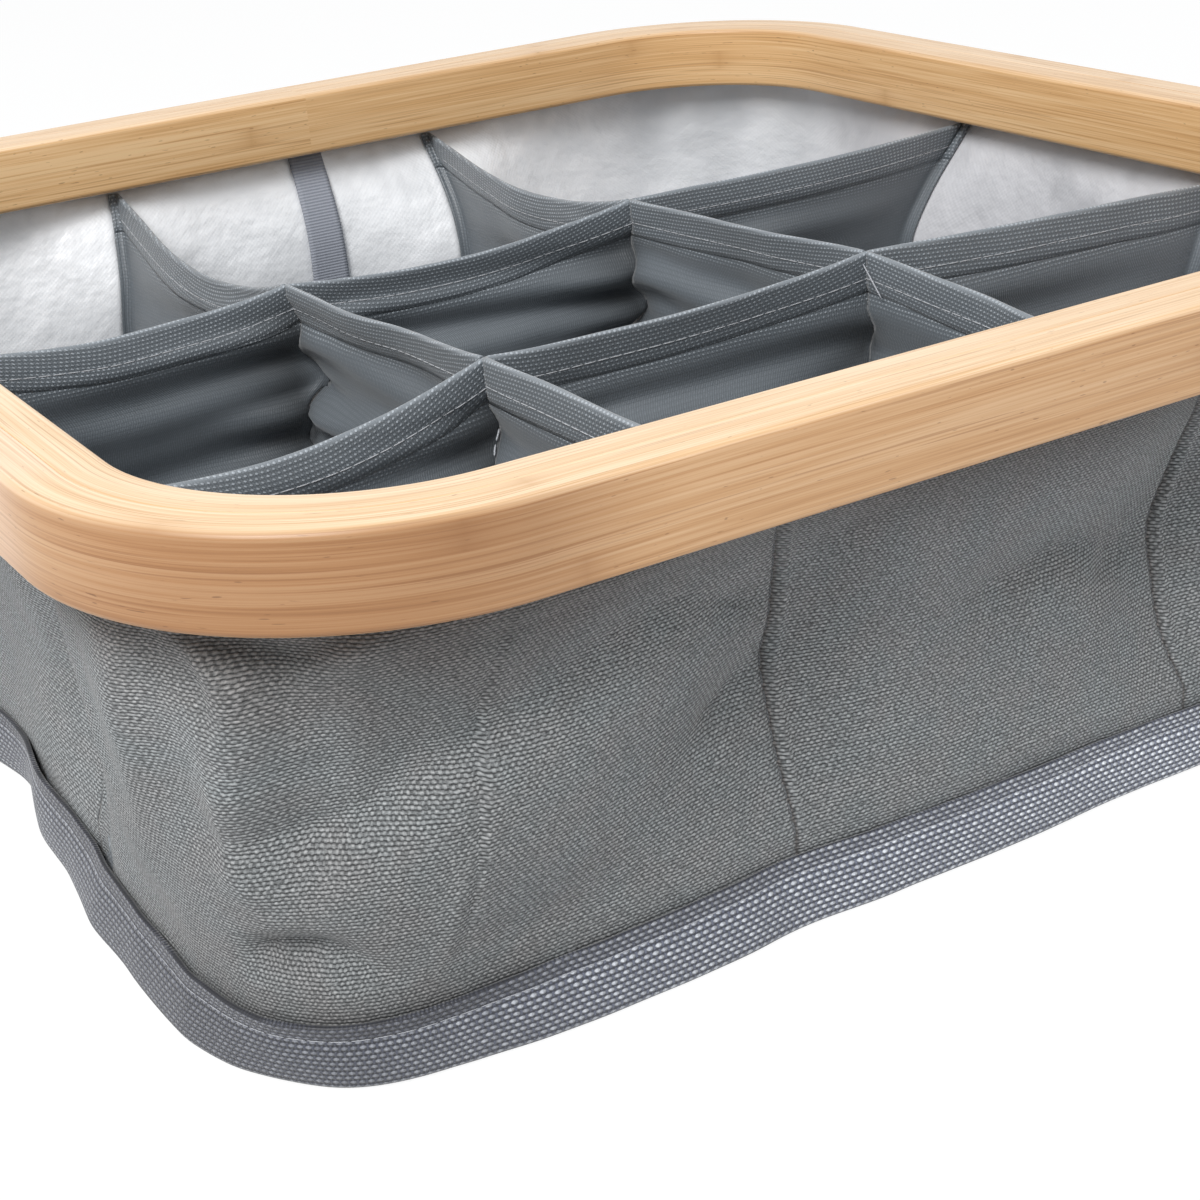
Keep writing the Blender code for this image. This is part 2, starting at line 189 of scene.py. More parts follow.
class Graph:
    """The node tree of a material or a world."""

    def __init__(self, tree: bpy.types.NodeTree) -> None:
        """Empty a tree.

        Args:
            tree: The tree to build in.
        """
        self.tree = tree
        tree.nodes.clear()

    def add(
        self, kind: str, settings: dict[str, Any], sockets: dict[Key, Any], output: Key = 0
    ) -> Value | None:
        """Add a node.

        Args:
            kind: The node's type.
            settings: Its settings, with a ramp's stops under "stops".
            sockets: Values or links of its inputs, by index or name.
            output: The output that is wanted.

        Returns:
            That output, or None where the node ends the tree.
        """
        node = self.tree.nodes.new(kind)
        for name, setting in settings.items():
            if name == "stops":
                elements = node.color_ramp.elements
                for place, colour in setting[2:]:
                    elements.new(place)
                for element, (place, colour) in zip(elements, setting):
                    element.position = place
                    element.color = (*colour, 1)
            else:
                setattr(node, name, setting)
        for name, given in sockets.items():
            if isinstance(given, Value):
                self.tree.links.new(given.socket, node.inputs[name])
            elif isinstance(given, tuple) and node.inputs[name].type == "RGBA":
                node.inputs[name].default_value = (*given, 1)
            else:
                node.inputs[name].default_value = given
        return Value(self, node.outputs[output]) if node.outputs else None

    def place(self) -> tuple[Value, Value, Value]:
        """Place on the piece's own surface: along it, across it and a mark, in metres."""
        vector = self.add("ShaderNodeAttribute", {"attribute_name": SURFACE_PLACE}, {}, "Vector")
        return tuple(self.add("ShaderNodeSeparateXYZ", {}, {0: vector}, axis) for axis in range(3))

    def soil(self) -> Value:
        """How much painted shade the piece's surface has, from 0 to 1."""
        return self.add("ShaderNodeAttribute", {"attribute_name": SURFACE_PAINTED_SHADE}, {}, "Fac")

    def seen(self) -> Value:
        """Which rays see the backdrop's white: those of the camera, of gloss and of glass.

        Returns:
            1 for these rays, else 0.
        """
        camera, glossy, through_glass = (
            self.add("ShaderNodeLightPath", {}, {}, f"Is {kind} Ray")
            for kind in ("Camera", "Glossy", "Transmission")
        )
        return camera + glossy + through_glass

    def at(self, x: Number, y: Number, z: Number = 0.0) -> Value:
        """A vector of three numbers."""
        return self.add("ShaderNodeCombineXYZ", {}, {0: x, 1: y, 2: z})

    def noise(self, where: Value, detail: float = 0.0, roughness: float = 0.5) -> Value:
        """Smooth noise from 0 to 1, one period to a unit.

        Args:
            where: The vector that it is read at.
            detail: Octaves above the first.
            roughness: Strength of each octave.

        Returns:
            The noise.
        """
        sockets = {"Vector": where, "Scale": 1.0, "Detail": detail, "Roughness": roughness}
        return self.add("ShaderNodeTexNoise", {}, sockets)

    def ramp(self, share: Value, stops: Sequence[tuple[float, Colour]]) -> Value:
        """Colours along a share."""
        return self.add("ShaderNodeValToRGB", {"stops": list(stops)}, {0: share})

    def mix(self, share: Number, first: Any, second: Any, blend: str = "MIX") -> Value:
        """Mix two colours.

        Args:
            share: How much of the second.
            first: A colour or its link.
            second: A colour or its link.
            blend: How they are blended.

        Returns:
            The mixed colour.
        """
        settings = {"data_type": "RGBA", "blend_type": blend}
        return self.add("ShaderNodeMix", settings, {0: share, 6: first, 7: second}, 2)

    def bump(
        self, height: Value, depth: float, strength: float = 1.0, under: Value | None = None
    ) -> Value:
        """A normal from a height of 0 to 1.

        Args:
            height: The height.
            depth: The relief's depth in metres.
            strength: How much of it.
            under: A normal below it.

        Returns:
            The normal.
        """
        sockets: dict[Key, Any] = {"Strength": strength, "Distance": depth, "Height": height}
        if under is not None:
            sockets["Normal"] = under
        return self.add("ShaderNodeBump", {}, sockets)

    def surface(self, **sockets: Any) -> None:
        """End the material with a Principled shader.

        Args:
            sockets: Its inputs, with _ for a space.
        """
        named = {name.replace("_", " "): given for name, given in sockets.items()}
        shader = self.add("ShaderNodeBsdfPrincipled", {}, named)
        self.add("ShaderNodeOutputMaterial", {}, {0: shader})


def new_material(name: str) -> tuple[bpy.types.Material, Graph]:
    """An empty material.

    Args:
        name: Its name.

    Returns:
        The material and its graph.
    """
    material = bpy.data.materials.new(name)
    material.use_nodes = True
    return material, Graph(material.node_tree)


# Finishes


@dataclass(frozen=True)
class Bamboo:
    """Lacquered bamboo whose fibres run along the bent plies."""

    cream: Colour = (0.85, 0.67, 0.455)
    pale: Colour = (0.86, 0.65, 0.445)
    straw: Colour = (0.74, 0.495, 0.28)
    tan: Colour = (0.52, 0.30, 0.14)
    fleck: Colour = (0.24, 0.11, 0.04)
    outer_tint: Colour = (0.74, 0.62, 0.50)
    inner_tint: Colour = (0.97, 0.86, 0.67)
    # Painted light: paler colour of the outer ply along the tray's left side.
    lit_side_colour: Colour = (0.80, 0.64, 0.56)
    toast: Colour = (0.60, 0.51, 0.42)
    top: float = 16.5 * MM
    ply_width: float = 8 * MM
    corner_place: float = 148.5 * MM
    corner_spacing: float = 286 * MM
    bend_reach: tuple[float, float] = (10 * MM, 52 * MM)
    # Stretch of the painted light along the tray's left side.
    lit_left_side: tuple[float, float] = (190 * MM, 390 * MM)
    fibre_length: float = 60 * MM
    fibre_width: float = 0.55 * MM
    hair_width: float = 0.28 * MM
    streak_width: float = 0.42 * MM
    band_width: float = 2.4 * MM
    strip_width: float = 5.2 * MM
    node_spacing: float = 262 * MM
    wander: float = 0.4 * MM
    relief: float = 0.03 * MM
    roughness: float = 0.42

    def material(self) -> bpy.types.Material:
        """Build the material.

        Returns:
            The material.
        """
        material, graph = new_material("bamboo")
        along, across, up = graph.place()
        wander = graph.noise(graph.at(along * 9, across * 40, up * 40)) - 0.5
        side = across + wander * self.wander
        level = up + wander * self.wander
        fine = graph.noise(
            graph.at(along / self.fibre_length, side / self.fibre_width, level / self.fibre_width), 2, 0.6
        )
        hair = graph.noise(graph.at(along * 30, side / self.hair_width, level / self.hair_width), 1)
        bands = graph.noise(graph.at(along * 3.1, side / self.band_width, level / self.band_width), 1)
        strip = (level / self.strip_width).floor() * 3.7 + (side / self.ply_width).floor() * 5.3
        strip_tone = graph.noise(graph.at(strip, along * 1.4, 7.0))
        cloud = graph.noise(graph.at(along * 12, across * 30, up * 30), 1)
        tone = fine * 0.42 + hair * 0.36 + bands * 0.28 + strip_tone * 0.14 + cloud * 0.1 - 0.15
        colour = graph.ramp(
            tone, [(0.28, self.tan), (0.44, self.straw), (0.6, self.pale), (0.8, self.cream)]
        )
        streak_at = graph.at(along * 21, side / self.streak_width, level / self.streak_width)
        streak = graph.noise(streak_at, 1)
        dark = streak.between(0.57, 0.68) * bands.between(0.38, 0.58)
        colour = graph.mix(dark * 0.65, colour, self.tan)
        colour = graph.mix((1 - streak.between(0.26, 0.36)) * 0.4, colour, self.pale)
        speck = graph.noise(graph.at(along * 420, side * 3200, level * 3200))
        colour = graph.mix(speck.between(0.80, 0.86) * 0.55, colour, self.fleck)
        ring = ((along / self.node_spacing + strip_tone * 1.9) % 1.0 - 0.5).size()
        node = (ring * -60.0).exp()
        colour = graph.mix(node * 0.45, colour, self.tan)
        tint = graph.mix(across > 0.0, self.inner_tint, self.outer_tint)
        colour = graph.mix(1 - up.between(self.top - 1.1 * MM, self.top - 0.2 * MM), colour, tint, "MULTIPLY")
        half_spacing = self.corner_spacing / 2
        bend = (along - self.corner_place + half_spacing) % self.corner_spacing - half_spacing
        bent = 1 - (bend + wander * (30 * MM)).size().between(*self.bend_reach)
        outer_face = PLY_SHIFT + self.ply_width
        bent = bent * across.between(outer_face - 1.4 * MM, outer_face - 0.3 * MM)
        colour = graph.mix(bent, colour, self.toast, "MULTIPLY")
        # Painted light: the outer ply is painted paler along the tray's left side.
        lit_left_side = along.between(self.lit_left_side[0], self.lit_left_side[0] + 60 * MM) * (across > 0.0)
        lit_left_side = lit_left_side * (1 - along.between(self.lit_left_side[1], self.lit_left_side[1] + 20 * MM))
        colour = graph.mix(lit_left_side * 0.22, colour, self.lit_side_colour)
        height = fine * 0.6 + hair * 0.4
        graph.surface(
            Base_Color=colour,
            Roughness=self.roughness + hair * 0.12,
            Coat_Weight=0.18,
            Coat_Roughness=0.3,
            Normal=graph.bump(height, self.relief, 0.5),
        )
        return material


@dataclass(frozen=True)
class BeadedWeave:
    """Woven cloth in which one set of threads shows as rows of light beads on a darker ground."""

    name: str
    bead_pitch: float
    row_pitch: float
    bead_length: float
    bead_height: float
    gap: Colour
    ground: Colour
    bead: Colour
    roughness: float
    relief: float
    stagger: float = 0.5
    sheen: float = 0.2
    unevenness: float = 0.6
    # Strength of the painted highlight along a hem's top fold.
    painted_fold_highlight: float = 0.0
    fading: float = 0.0
    hem_depth: tuple[float, float] = (9.5 * MM, 12.5 * MM)
    # Colour multiplied in where shade is painted.
    painted_shade_colour: Colour = (0.25, 0.25, 0.27)

    def material(self) -> bpy.types.Material:
        """Build the material.

        Returns:
            The material.
        """
        material, graph = new_material(self.name)
        along, across, mark = graph.place()
        drift = graph.noise(graph.at(along * 90, across * 90)) - 0.5
        rows = across / self.row_pitch + drift * 0.4
        row = rows.floor()
        columns = along / self.bead_pitch + (row % 2.0) * self.stagger + drift * 0.5
        column = columns.floor()
        from_column, from_row = columns - column - 0.5, rows - row - 0.5
        chance = graph.add(
            "ShaderNodeTexWhiteNoise", {"noise_dimensions": "2D"}, {"Vector": graph.at(column, row)}
        )
        long, high = self.bead_length / self.bead_pitch / 2, self.bead_height / self.row_pitch / 2
        far = (from_column / long) ** 2.0 + (from_row / high) ** 2.0
        bead = 1 - far.between(0.25, 1.35)
        ribs = (from_column * (4 * math.pi)).cos() * 0.5 + 0.5
        seam = from_row.size().between(0.34, 0.5)
        fibre = graph.noise(graph.at(along * 3800, across * 5200), 1)
        thread = graph.noise(graph.at(along * 300, row * 7.31), 1)
        cloud = graph.noise(graph.at(along * 40, across * 40), 2)
        shown = 1.0
        if self.fading:
            shown = 1 - (1 - mark.between(-self.hem_depth[1], -self.hem_depth[0])) * self.fading
        strength = bead * (1 - chance * self.unevenness) * (0.75 + thread * 0.5) * shown
        low = graph.mix(ribs * 0.6 + fibre * 0.5 - 0.05, self.gap, self.ground)
        low = graph.mix(seam * 0.75 * shown, low, self.gap)
        colour = graph.mix(strength, low, self.bead)
        colour = graph.mix(cloud.between(0.3, 0.75) * 0.16, colour, self.gap)
        if self.painted_fold_highlight:
            # Painted highlight along the hem's top fold.
            edge = 1 - mark.size().between(0.3 * MM, 1.1 * MM)
            colour = graph.mix(edge * (0.35 + bead * 0.65) * self.painted_fold_highlight, colour, self.bead)
        # Painted shade: darkens the cloth where the mesh's painted-shade attribute is set.
        colour = graph.mix(graph.soil(), colour, self.painted_shade_colour, "MULTIPLY")
        height = bead * 0.7 * shown + ribs * (1 - seam) * 0.3
        graph.surface(
            Base_Color=colour,
            Roughness=self.roughness + fibre * 0.12,
            Sheen_Weight=self.sheen,
            Sheen_Roughness=0.5,
            Normal=graph.bump(height + fibre * 0.1, self.relief, 1.0),
        )
        return material


@dataclass(frozen=True)
class UnevenWeave:
    """Linen-like cloth whose uneven yarns show as short light dashes over small dark holes."""

    hole: Colour = (0.030, 0.031, 0.033)
    ground: Colour = (0.130, 0.136, 0.139)
    yarn: Colour = (0.242, 0.252, 0.256)
    slub: Colour = (0.49, 0.50, 0.505)
    # Colour multiplied in where shade is painted.
    painted_shade_colour: Colour = (0.43, 0.37, 0.345)
    warm: Colour = (0.26, 0.22, 0.2)
    cool: Colour = (0.16, 0.24, 0.25)
    row_pitch: float = 0.62 * MM
    column_pitch: float = 1.05 * MM
    dash: float = 0.72 * MM
    hole_pitch: float = 0.45 * MM
    relief: float = 0.26 * MM

    def material(self) -> bpy.types.Material:
        """Build the material.

        Returns:
            The material.
        """
        material, graph = new_material("grey_linen")
        along, across, _ = graph.place()
        drift = graph.noise(graph.at(along * 90, across * 90)) - 0.5
        wobble = graph.noise(graph.at(along * 430, across * 430, 5.0), 1) - 0.5
        rows = across / self.row_pitch + drift * 0.6 + wobble * 0.7
        row = rows.floor()
        from_row = (rows - row - 0.5).size()
        crown = 1 - (from_row * 2) ** 2.0
        columns = along / self.column_pitch + drift * 0.5 + wobble * 0.5 + (row % 2.0) * 0.5
        ribs = (columns * (2 * math.pi)).cos() * 0.5 + 0.5
        dash = graph.noise(graph.at(along / self.dash + wobble, row * 7.31), 1)
        dashes = (dash * 0.7 + ribs * 0.3).between(0.36, 0.66) * crown
        gap_row = (rows + 0.5).floor()
        hole = graph.noise(graph.at(along / self.hole_pitch, gap_row * 5.17, 9.0), 1)
        holes = (hole * 0.7 + (1 - ribs) * 0.3).between(0.42, 0.58) * from_row.between(0.22, 0.42)
        fibre = graph.noise(graph.at(along * 1500, across * 2300), 2, 0.7)
        cloud = graph.noise(graph.at(along * 40, across * 40), 2)
        tone = 0.2 + crown * 0.14 + dashes * 0.36 + (fibre - 0.5) * 1.3 + (cloud - 0.5) * 0.12
        colour = graph.ramp(
            tone, [(0.0, self.hole), (0.26, self.ground), (0.5, self.yarn), (0.95, self.slub)]
        )
        colour = graph.mix(holes * 0.85, colour, self.hole)
        hue = graph.noise(graph.at(along * 110, across * 110, 3.0), 1)
        tints = graph.ramp(hue, [(0.35, self.warm), (0.65, self.cool)])
        colour = graph.mix(0.22, colour, tints, "SOFT_LIGHT")
        # Painted shade: darkens the cloth where the mesh's painted-shade attribute is set.
        colour = graph.mix(graph.soil(), colour, self.painted_shade_colour, "MULTIPLY")
        height = crown * 0.35 + dashes * 0.12 + fibre * 0.4 - holes * 0.4
        graph.surface(
            Base_Color=colour,
            Roughness=0.82 + fibre * 0.12,
            Sheen_Weight=0.15,
            Sheen_Roughness=0.5,
            Normal=graph.bump(height, self.relief, 1.0),
        )
        return material


@dataclass(frozen=True)
class SilverCoat:
    """Thin silver coat on the inside of the wall cloth, crumpled, with the weave showing through."""

    bright: Colour = (0.92, 0.93, 0.95)
    dull: Colour = (0.58, 0.59, 0.61)
    # Painted shade over the coat along the right wall's inside.
    side_shade: Colour = (0.72, 0.71, 0.72)
    side_shade_stretch: tuple[float, float] = (735 * MM, 950 * MM)
    side_shade_ends: tuple[float, float] = (50 * MM, 20 * MM)
    pitch: float = 0.62 * MM
    crumpling: float = 4.5 * MM
    relief: float = 0.08 * MM

    def material(self) -> bpy.types.Material:
        """Build the material.

        Returns:
            The material.
        """
        material, graph = new_material("silver_coat")
        along, across, _ = graph.place()
        crumple = graph.noise(graph.at(along * 44, across * 44), 4, 0.55)
        worn = graph.noise(graph.at(along * 26, across * 26, 4.0), 3, 0.6)
        threads = (along * (math.pi / self.pitch)).sin() * (across * (math.pi / self.pitch)).sin()
        colour = graph.mix(worn.between(0.48, 0.75) * 0.7, self.bright, self.dull)
        # Painted shade: the coat is darkened along the right wall's inside.
        start, end = self.side_shade_stretch
        wide, narrow = self.side_shade_ends
        side_shaded = along.between(start - wide, start + narrow) * (1 - along.between(end, end + wide))
        colour = graph.mix(side_shaded, colour, self.side_shade, "MULTIPLY")
        normal = graph.bump(crumple, self.crumpling, 0.45)
        graph.surface(
            Base_Color=colour,
            Roughness=0.34 + worn * 0.2,
            Metallic=0.12,
            Normal=graph.bump(threads * 0.5 + 0.5, self.relief, 0.35, normal),
        )
        return material


@dataclass(frozen=True)
class Ribbed:
    """Tape with fine ribs across it."""

    name: str
    pitch: float
    dark: Colour
    light: Colour
    relief: float = 0.1 * MM

    def material(self) -> bpy.types.Material:
        """Build the material.

        Returns:
            The material.
        """
        material, graph = new_material(self.name)
        along, across, _ = graph.place()
        ridge = (across * (2 * math.pi / self.pitch)).cos() * 0.5 + 0.5
        thread = graph.noise(graph.at(along * 2600, across * 500), 1)
        tone = ridge * 0.7 + thread * 0.5 - 0.1
        colour = graph.ramp(tone, [(0.1, self.dark), (0.9, self.light)])
        normal = graph.bump(ridge + thread * 0.3, self.relief, 0.9)
        graph.surface(Base_Color=colour, Roughness=0.8, Normal=normal)
        return material


@dataclass(frozen=True)
class Thread:
    """Twisted sewing thread."""

    name: str
    dark: Colour
    light: Colour

    def material(self) -> bpy.types.Material:
        """Build the material.

        Returns:
            The material.
        """
        material, graph = new_material(self.name)
        along, across, _ = graph.place()
        twist = (along * 9000 + across * 2).sin() * 0.5 + 0.5
        colour = graph.mix(twist, self.dark, self.light)
        graph.surface(Base_Color=colour, Roughness=0.6, Normal=graph.bump(twist, 0.05 * MM, 0.6))
        return material


@dataclass(frozen=True)
class Grained:
    """A plain stock with a fine grain: moulded plastic or pressed board."""

    name: str
    base: Colour
    speck: Colour
    grain: float
    roughness: float
    relief: float = 0.1 * MM

    def material(self) -> bpy.types.Material:
        """Build the material.

        Returns:
            The material.
        """
        material, graph = new_material(self.name)
        where = graph.add("ShaderNodeTexCoord", {}, {}, "Object")
        scaled = graph.add(
            "ShaderNodeVectorMath", {"operation": "SCALE"}, {0: where, "Scale": 1 / self.grain}
        )
        grain = graph.noise(scaled, 3)
        colour = graph.mix(grain.between(0.35, 0.7), self.base, self.speck)
        graph.surface(
            Base_Color=colour,
            Roughness=self.roughness + grain * 0.1,
            Normal=graph.bump(grain, self.relief, 0.4),
        )
        return material


# Meshes


def add_places(mesh: bpy.types.Mesh, places: np.ndarray) -> None:
    """Store the place on the surface of each corner of each face.

    Args:
        mesh: The mesh.
        places: One row of three numbers for each face's corner.
    """
    layer = mesh.attributes.new(SURFACE_PLACE, "FLOAT_VECTOR", "CORNER")
    layer.data.foreach_set("vector", np.asarray(places, np.float32).ravel())


def linked(name: str, data: bpy.types.ID) -> bpy.types.Object:
    """A new object in the scene.

    Args:
        name: Its name.
        data: Its mesh, light or camera.

    Returns:
        The object.
    """
    piece = bpy.data.objects.new(name, data)
    bpy.context.scene.collection.objects.link(piece)
    return piece


def grid_piece(
    name: str,
    points: np.ndarray,
    places: np.ndarray,
    materials: Sequence[bpy.types.Material],
    around: float = 0.0,
    closed: bool = False,
    closed_rows: bool = False,
    keep: np.ndarray | None = None,
    soil: np.ndarray | None = None,
) -> bpy.types.Object:
    """A mesh through rows and columns of points.

    Args:
        name: The piece's name.
        points: Rows by columns by 3.
        places: Places on the surface, in the same layout.
        materials: Its materials.
        around: Length along the rows where the last column joins the first, else 0.
        closed: Whether the last column joins the first where there is no such length.
        closed_rows: Whether the last row joins the first.
        keep: Which faces are kept, rows by columns.
        soil: How much painted shade each point has, rows by columns.

    Returns:
        The piece.
    """
    rows, columns = points.shape[:2]
    row = np.arange(rows if closed_rows else rows - 1)
    column = np.arange(columns if around or closed else columns - 1)
    r, c = np.meshgrid(row, column, indexing="ij")
    r2, c2 = (r + 1) % rows, (c + 1) % columns
    faces = np.stack([r * columns + c, r2 * columns + c, r2 * columns + c2, r * columns + c2], axis=-1)
    corner_places = places.reshape(-1, 3)[faces]
    corner_places[..., 2:, 0] += around * (c2 < c)[..., None]
    chosen = np.ones(r.shape, bool) if keep is None else keep
    quads = faces[chosen]
    used, compact = np.unique(quads, return_inverse=True)
    quads = compact.reshape(quads.shape)
    mesh = bpy.data.meshes.new(name)
    mesh.vertices.add(len(used))
    mesh.vertices.foreach_set("co", points.reshape(-1, 3)[used].astype(np.float32).ravel())
    mesh.loops.add(quads.size)
    mesh.loops.foreach_set("vertex_index", quads.astype(np.int32).ravel())
    mesh.polygons.add(len(quads))
    mesh.polygons.foreach_set("loop_start", np.arange(0, quads.size, 4, dtype=np.int32))
    mesh.update(calc_edges=True)
    add_places(mesh, corner_places[chosen])
    if soil is not None:
        layer = mesh.attributes.new(SURFACE_PAINTED_SHADE, "FLOAT", "POINT")
        spread = np.broadcast_to(soil, (rows, columns)).ravel()[used]
        layer.data.foreach_set("value", spread.astype(np.float32))
    mesh.shade_smooth()
    for material in materials:
        mesh.materials.append(material)
    return linked(name, mesh)


def thicken(piece: bpy.types.Object, thickness: float, inner_slot: int = 0) -> None:
    """Give a sheet its thickness, half to each side.

    Args:
        piece: The sheet.
        thickness: Its thickness.
        inner_slot: Steps from the outer face's material to the inner face's.
    """
    modifier = piece.modifiers.new("Thickness", "SOLIDIFY")
    modifier.thickness = thickness
    modifier.offset = 0
    modifier.use_even_offset = False
    modifier.material_offset = inner_slot
    modifier.material_offset_rim = 0


def settle(piece: bpy.types.Object, slot: str, *nodes: str) -> None:
    """Seat a piece on the part's body.

    Args:
        piece: The piece.
        slot: Not used.
        nodes: The frame's nodes that it stands for.
    """
    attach(piece, BODY)
    if nodes:
        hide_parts(*nodes)
    stands_for = ", ".join(nodes) or "nothing"
    LOG.info("%s: %d points, stands for %s", piece.name, len(piece.data.vertices), stands_for)


def spread(*parts: np.ndarray | float) -> np.ndarray:
    """Numbers or arrays side by side as the coordinates of one layout of points."""
    return np.stack(np.broadcast_arrays(*parts), axis=-1)


def smooth_noise(places: np.ndarray, frequency: float, seed: float, octaves: int = 1) -> np.ndarray:
    """Smooth noise of about -1 to 1 at places.

    Args:
        places: Any layout of 3 numbers, in metres.
        frequency: Periods in a metre.
        seed: Which noise it is.
        octaves: How many octaves.

    Returns:
        The noise, in the places' layout.
    """
    total = np.zeros(places.shape[:-1])
    for octave in range(octaves):
        spread = places * frequency * 2**octave + np.array([seed * 1.7, seed * 2.9, seed * 0.37])
        corner = np.floor(spread)
        share = spread - corner
        share = share * share * (3 - 2 * share)
        for step in np.ndindex(2, 2, 2):
            weight = np.prod(np.where(np.array(step), share, 1 - share), axis=-1)
            knot = (corner + step) @ np.array([127.1, 311.7, 74.7])
            total += weight * (2 * np.modf(np.abs(np.sin(knot) * 43758.5453))[0] - 1) / 2**octave
    return total


def through(points: Sequence[tuple[float, float]], at: np.ndarray) -> np.ndarray:
    """Smooth curve through chosen points.

    Args:
        points: Pairs of place and value.
        at: The places that are wanted.

    Returns:
        The values there.
    """
    x, y = np.array(points, float).T
    slope = np.gradient(y, x)
    index = np.clip(np.searchsorted(x, at, side="right") - 1, 0, len(x) - 2)
    width = x[index + 1] - x[index]
    t = np.clip((at - x[index]) / width, 0, 1)
    rest = 1 - t
    return (
        y[index] * (1 + 2 * t) * rest**2
        + y[index + 1] * t * t * (3 - 2 * t)
        + width * (slope[index] * t * rest**2 - slope[index + 1] * t * t * rest)
    )


def between_points(at: float, run: np.ndarray, points: np.ndarray) -> np.ndarray:
    """The point at a run along a row of points.

    Args:
        at: The run that is wanted.
        run: Run of each point, rising.
        points: One point a row.

    Returns:
        The point.
    """
    return np.array([np.interp(at, run, points[:, axis]) for axis in range(3)])


@dataclass(frozen=True)
class StitchRow:
    """Short stitches along a line on a surface."""

    length: float
    gap: float
    radius: float
    sides: int = 6
    ring_shares: tuple[tuple[float, float], ...] = (
        (0.0, 0.35), (0.12, 0.85), (0.5, 1.0), (0.88, 0.85), (1.0, 0.35),
    )
    short_step: float = 0.1 * MM

    def mesh_parts(
        self, line: np.ndarray, out: np.ndarray, lift: float
    ) -> tuple[list[np.ndarray], list[np.ndarray], list[tuple[int, ...]]]:
        """Stitches along a line.

        Args:
            line: Points of the line.
            out: Unit direction out of the cloth at each point.
            lift: How far the thread's middle stands out.

        Returns:
            Points, places and faces.
        """
        steps = np.linalg.norm(np.diff(line, axis=0), axis=1)
        run = np.concatenate([[0], np.cumsum(steps)])
        points: list[np.ndarray] = []
        places: list[np.ndarray] = []
        faces: list[tuple[int, ...]] = []
        start = self.gap
        while start + self.length < run[-1]:
            first = len(points)
            for share, girth in self.ring_shares:
                at = start + self.length * share
                centre = between_points(at, run, line)
                heading = between_points(min(at + self.short_step, run[-1]), run, line)
                heading -= between_points(at - self.short_step, run, line)
                heading /= np.linalg.norm(heading)
                up = between_points(at, run, out)
                up -= heading * up.dot(heading)
                up /= np.linalg.norm(up)
                across = np.cross(heading, up)
                arch = lift * math.sin(math.pi * share) ** 0.5
                for side in range(self.sides):
                    angle = 2 * math.pi * side / self.sides
                    offset = up * (math.cos(angle) * self.radius * girth + arch)
                    points.append(centre + offset + across * math.sin(angle) * self.radius * girth)
                    places.append(np.array([at, angle, 0.0]))
            rings = len(self.ring_shares)
            for ring in range(rings - 1):
                for side in range(self.sides):
                    a = first + ring * self.sides + side
                    b = first + ring * self.sides + (side + 1) % self.sides
                    faces.append((a, b, b + self.sides, a + self.sides))
            faces.append(tuple(first + side for side in reversed(range(self.sides))))
            faces.append(tuple(first + (rings - 1) * self.sides + side for side in range(self.sides)))
            start += self.length + self.gap
        return points, places, faces

    def piece(
        self, name: str, lines: Sequence[tuple[np.ndarray, np.ndarray]], material: bpy.types.Material,
        lift: float,
    ) -> bpy.types.Object:
        """One object of all the stitches along several lines.

        Args:
            name: The piece's name.
            lines: Points and outward directions of each line.
            material: The thread's material.
            lift: How far the thread's middle stands out.

        Returns:
            The piece.
        """
        points: list[np.ndarray] = []
        places: list[np.ndarray] = []
        faces: list[tuple[int, ...]] = []
        for line, out in lines:
            more_points, more_places, more_faces = self.mesh_parts(line, out, lift)
            faces += [tuple(index + len(points) for index in face) for face in more_faces]
            points += more_points
            places += more_places
        mesh = bpy.data.meshes.new(name)
        mesh.from_pydata([tuple(point) for point in points], [], faces)
        add_places(mesh, np.array(places)[[index for face in faces for index in face]])
        mesh.shade_smooth()
        mesh.materials.append(material)
        return linked(name, mesh)


# The tray's form, which its sub-assemblies share


class Side(Enum):
    """The tray's sides, anticlockwise seen from above."""

    FRONT = 0
    RIGHT = 1
    BACK = 2
    LEFT = 3

    def along(self) -> np.ndarray:
        """Unit direction along the side."""
        turn = self.value * math.pi / 2
        return np.array([math.cos(turn), math.sin(turn), 0.0]).round(9)

    def outward(self) -> np.ndarray:
        """Unit direction out of the side."""
        turn = self.value * math.pi / 2
        return np.array([math.sin(turn), -math.cos(turn), 0.0]).round(9)


@dataclass(frozen=True)
class Fold:
    """A soft ridge or hollow of the wall cloth along a line on it, in millimetres.

    Places along the wall are counted from the middle of the near corner, anticlockwise. Its left
    side, seen from its start to its end, may be wider than its right side.
    """

    start: tuple[float, float]
    end: tuple[float, float]
    rise: float
    left: float
    right: float

    def at(self, girth: np.ndarray, level: np.ndarray, whole: float) -> np.ndarray:
        """How far it stands out.

        Args:
            girth: Places along the wall.
            level: Levels.
            whole: Length of the wall all the way round.

        Returns:
            The rise, in millimetres.
        """
        from_start = (girth - self.start[0] + whole / 2) % whole - whole / 2
        above = level - self.start[1]
        run, climb = self.end[0] - self.start[0], self.end[1] - self.start[1]
        share = np.clip((from_start * run + above * climb) / (run * run + climb * climb), 0, 1)
        across = (run * above - climb * from_start) / math.hypot(run, climb)
        far = np.hypot(from_start - run * share, above - climb * share)
        leftward = 0.5 + 0.5 * across / np.maximum(far, 1e-6)
        width = self.right + (self.left - self.right) * leftward
        return self.rise * np.sin(math.pi * (0.18 + 0.64 * share)) * np.exp(-((far / width) ** 1.6))


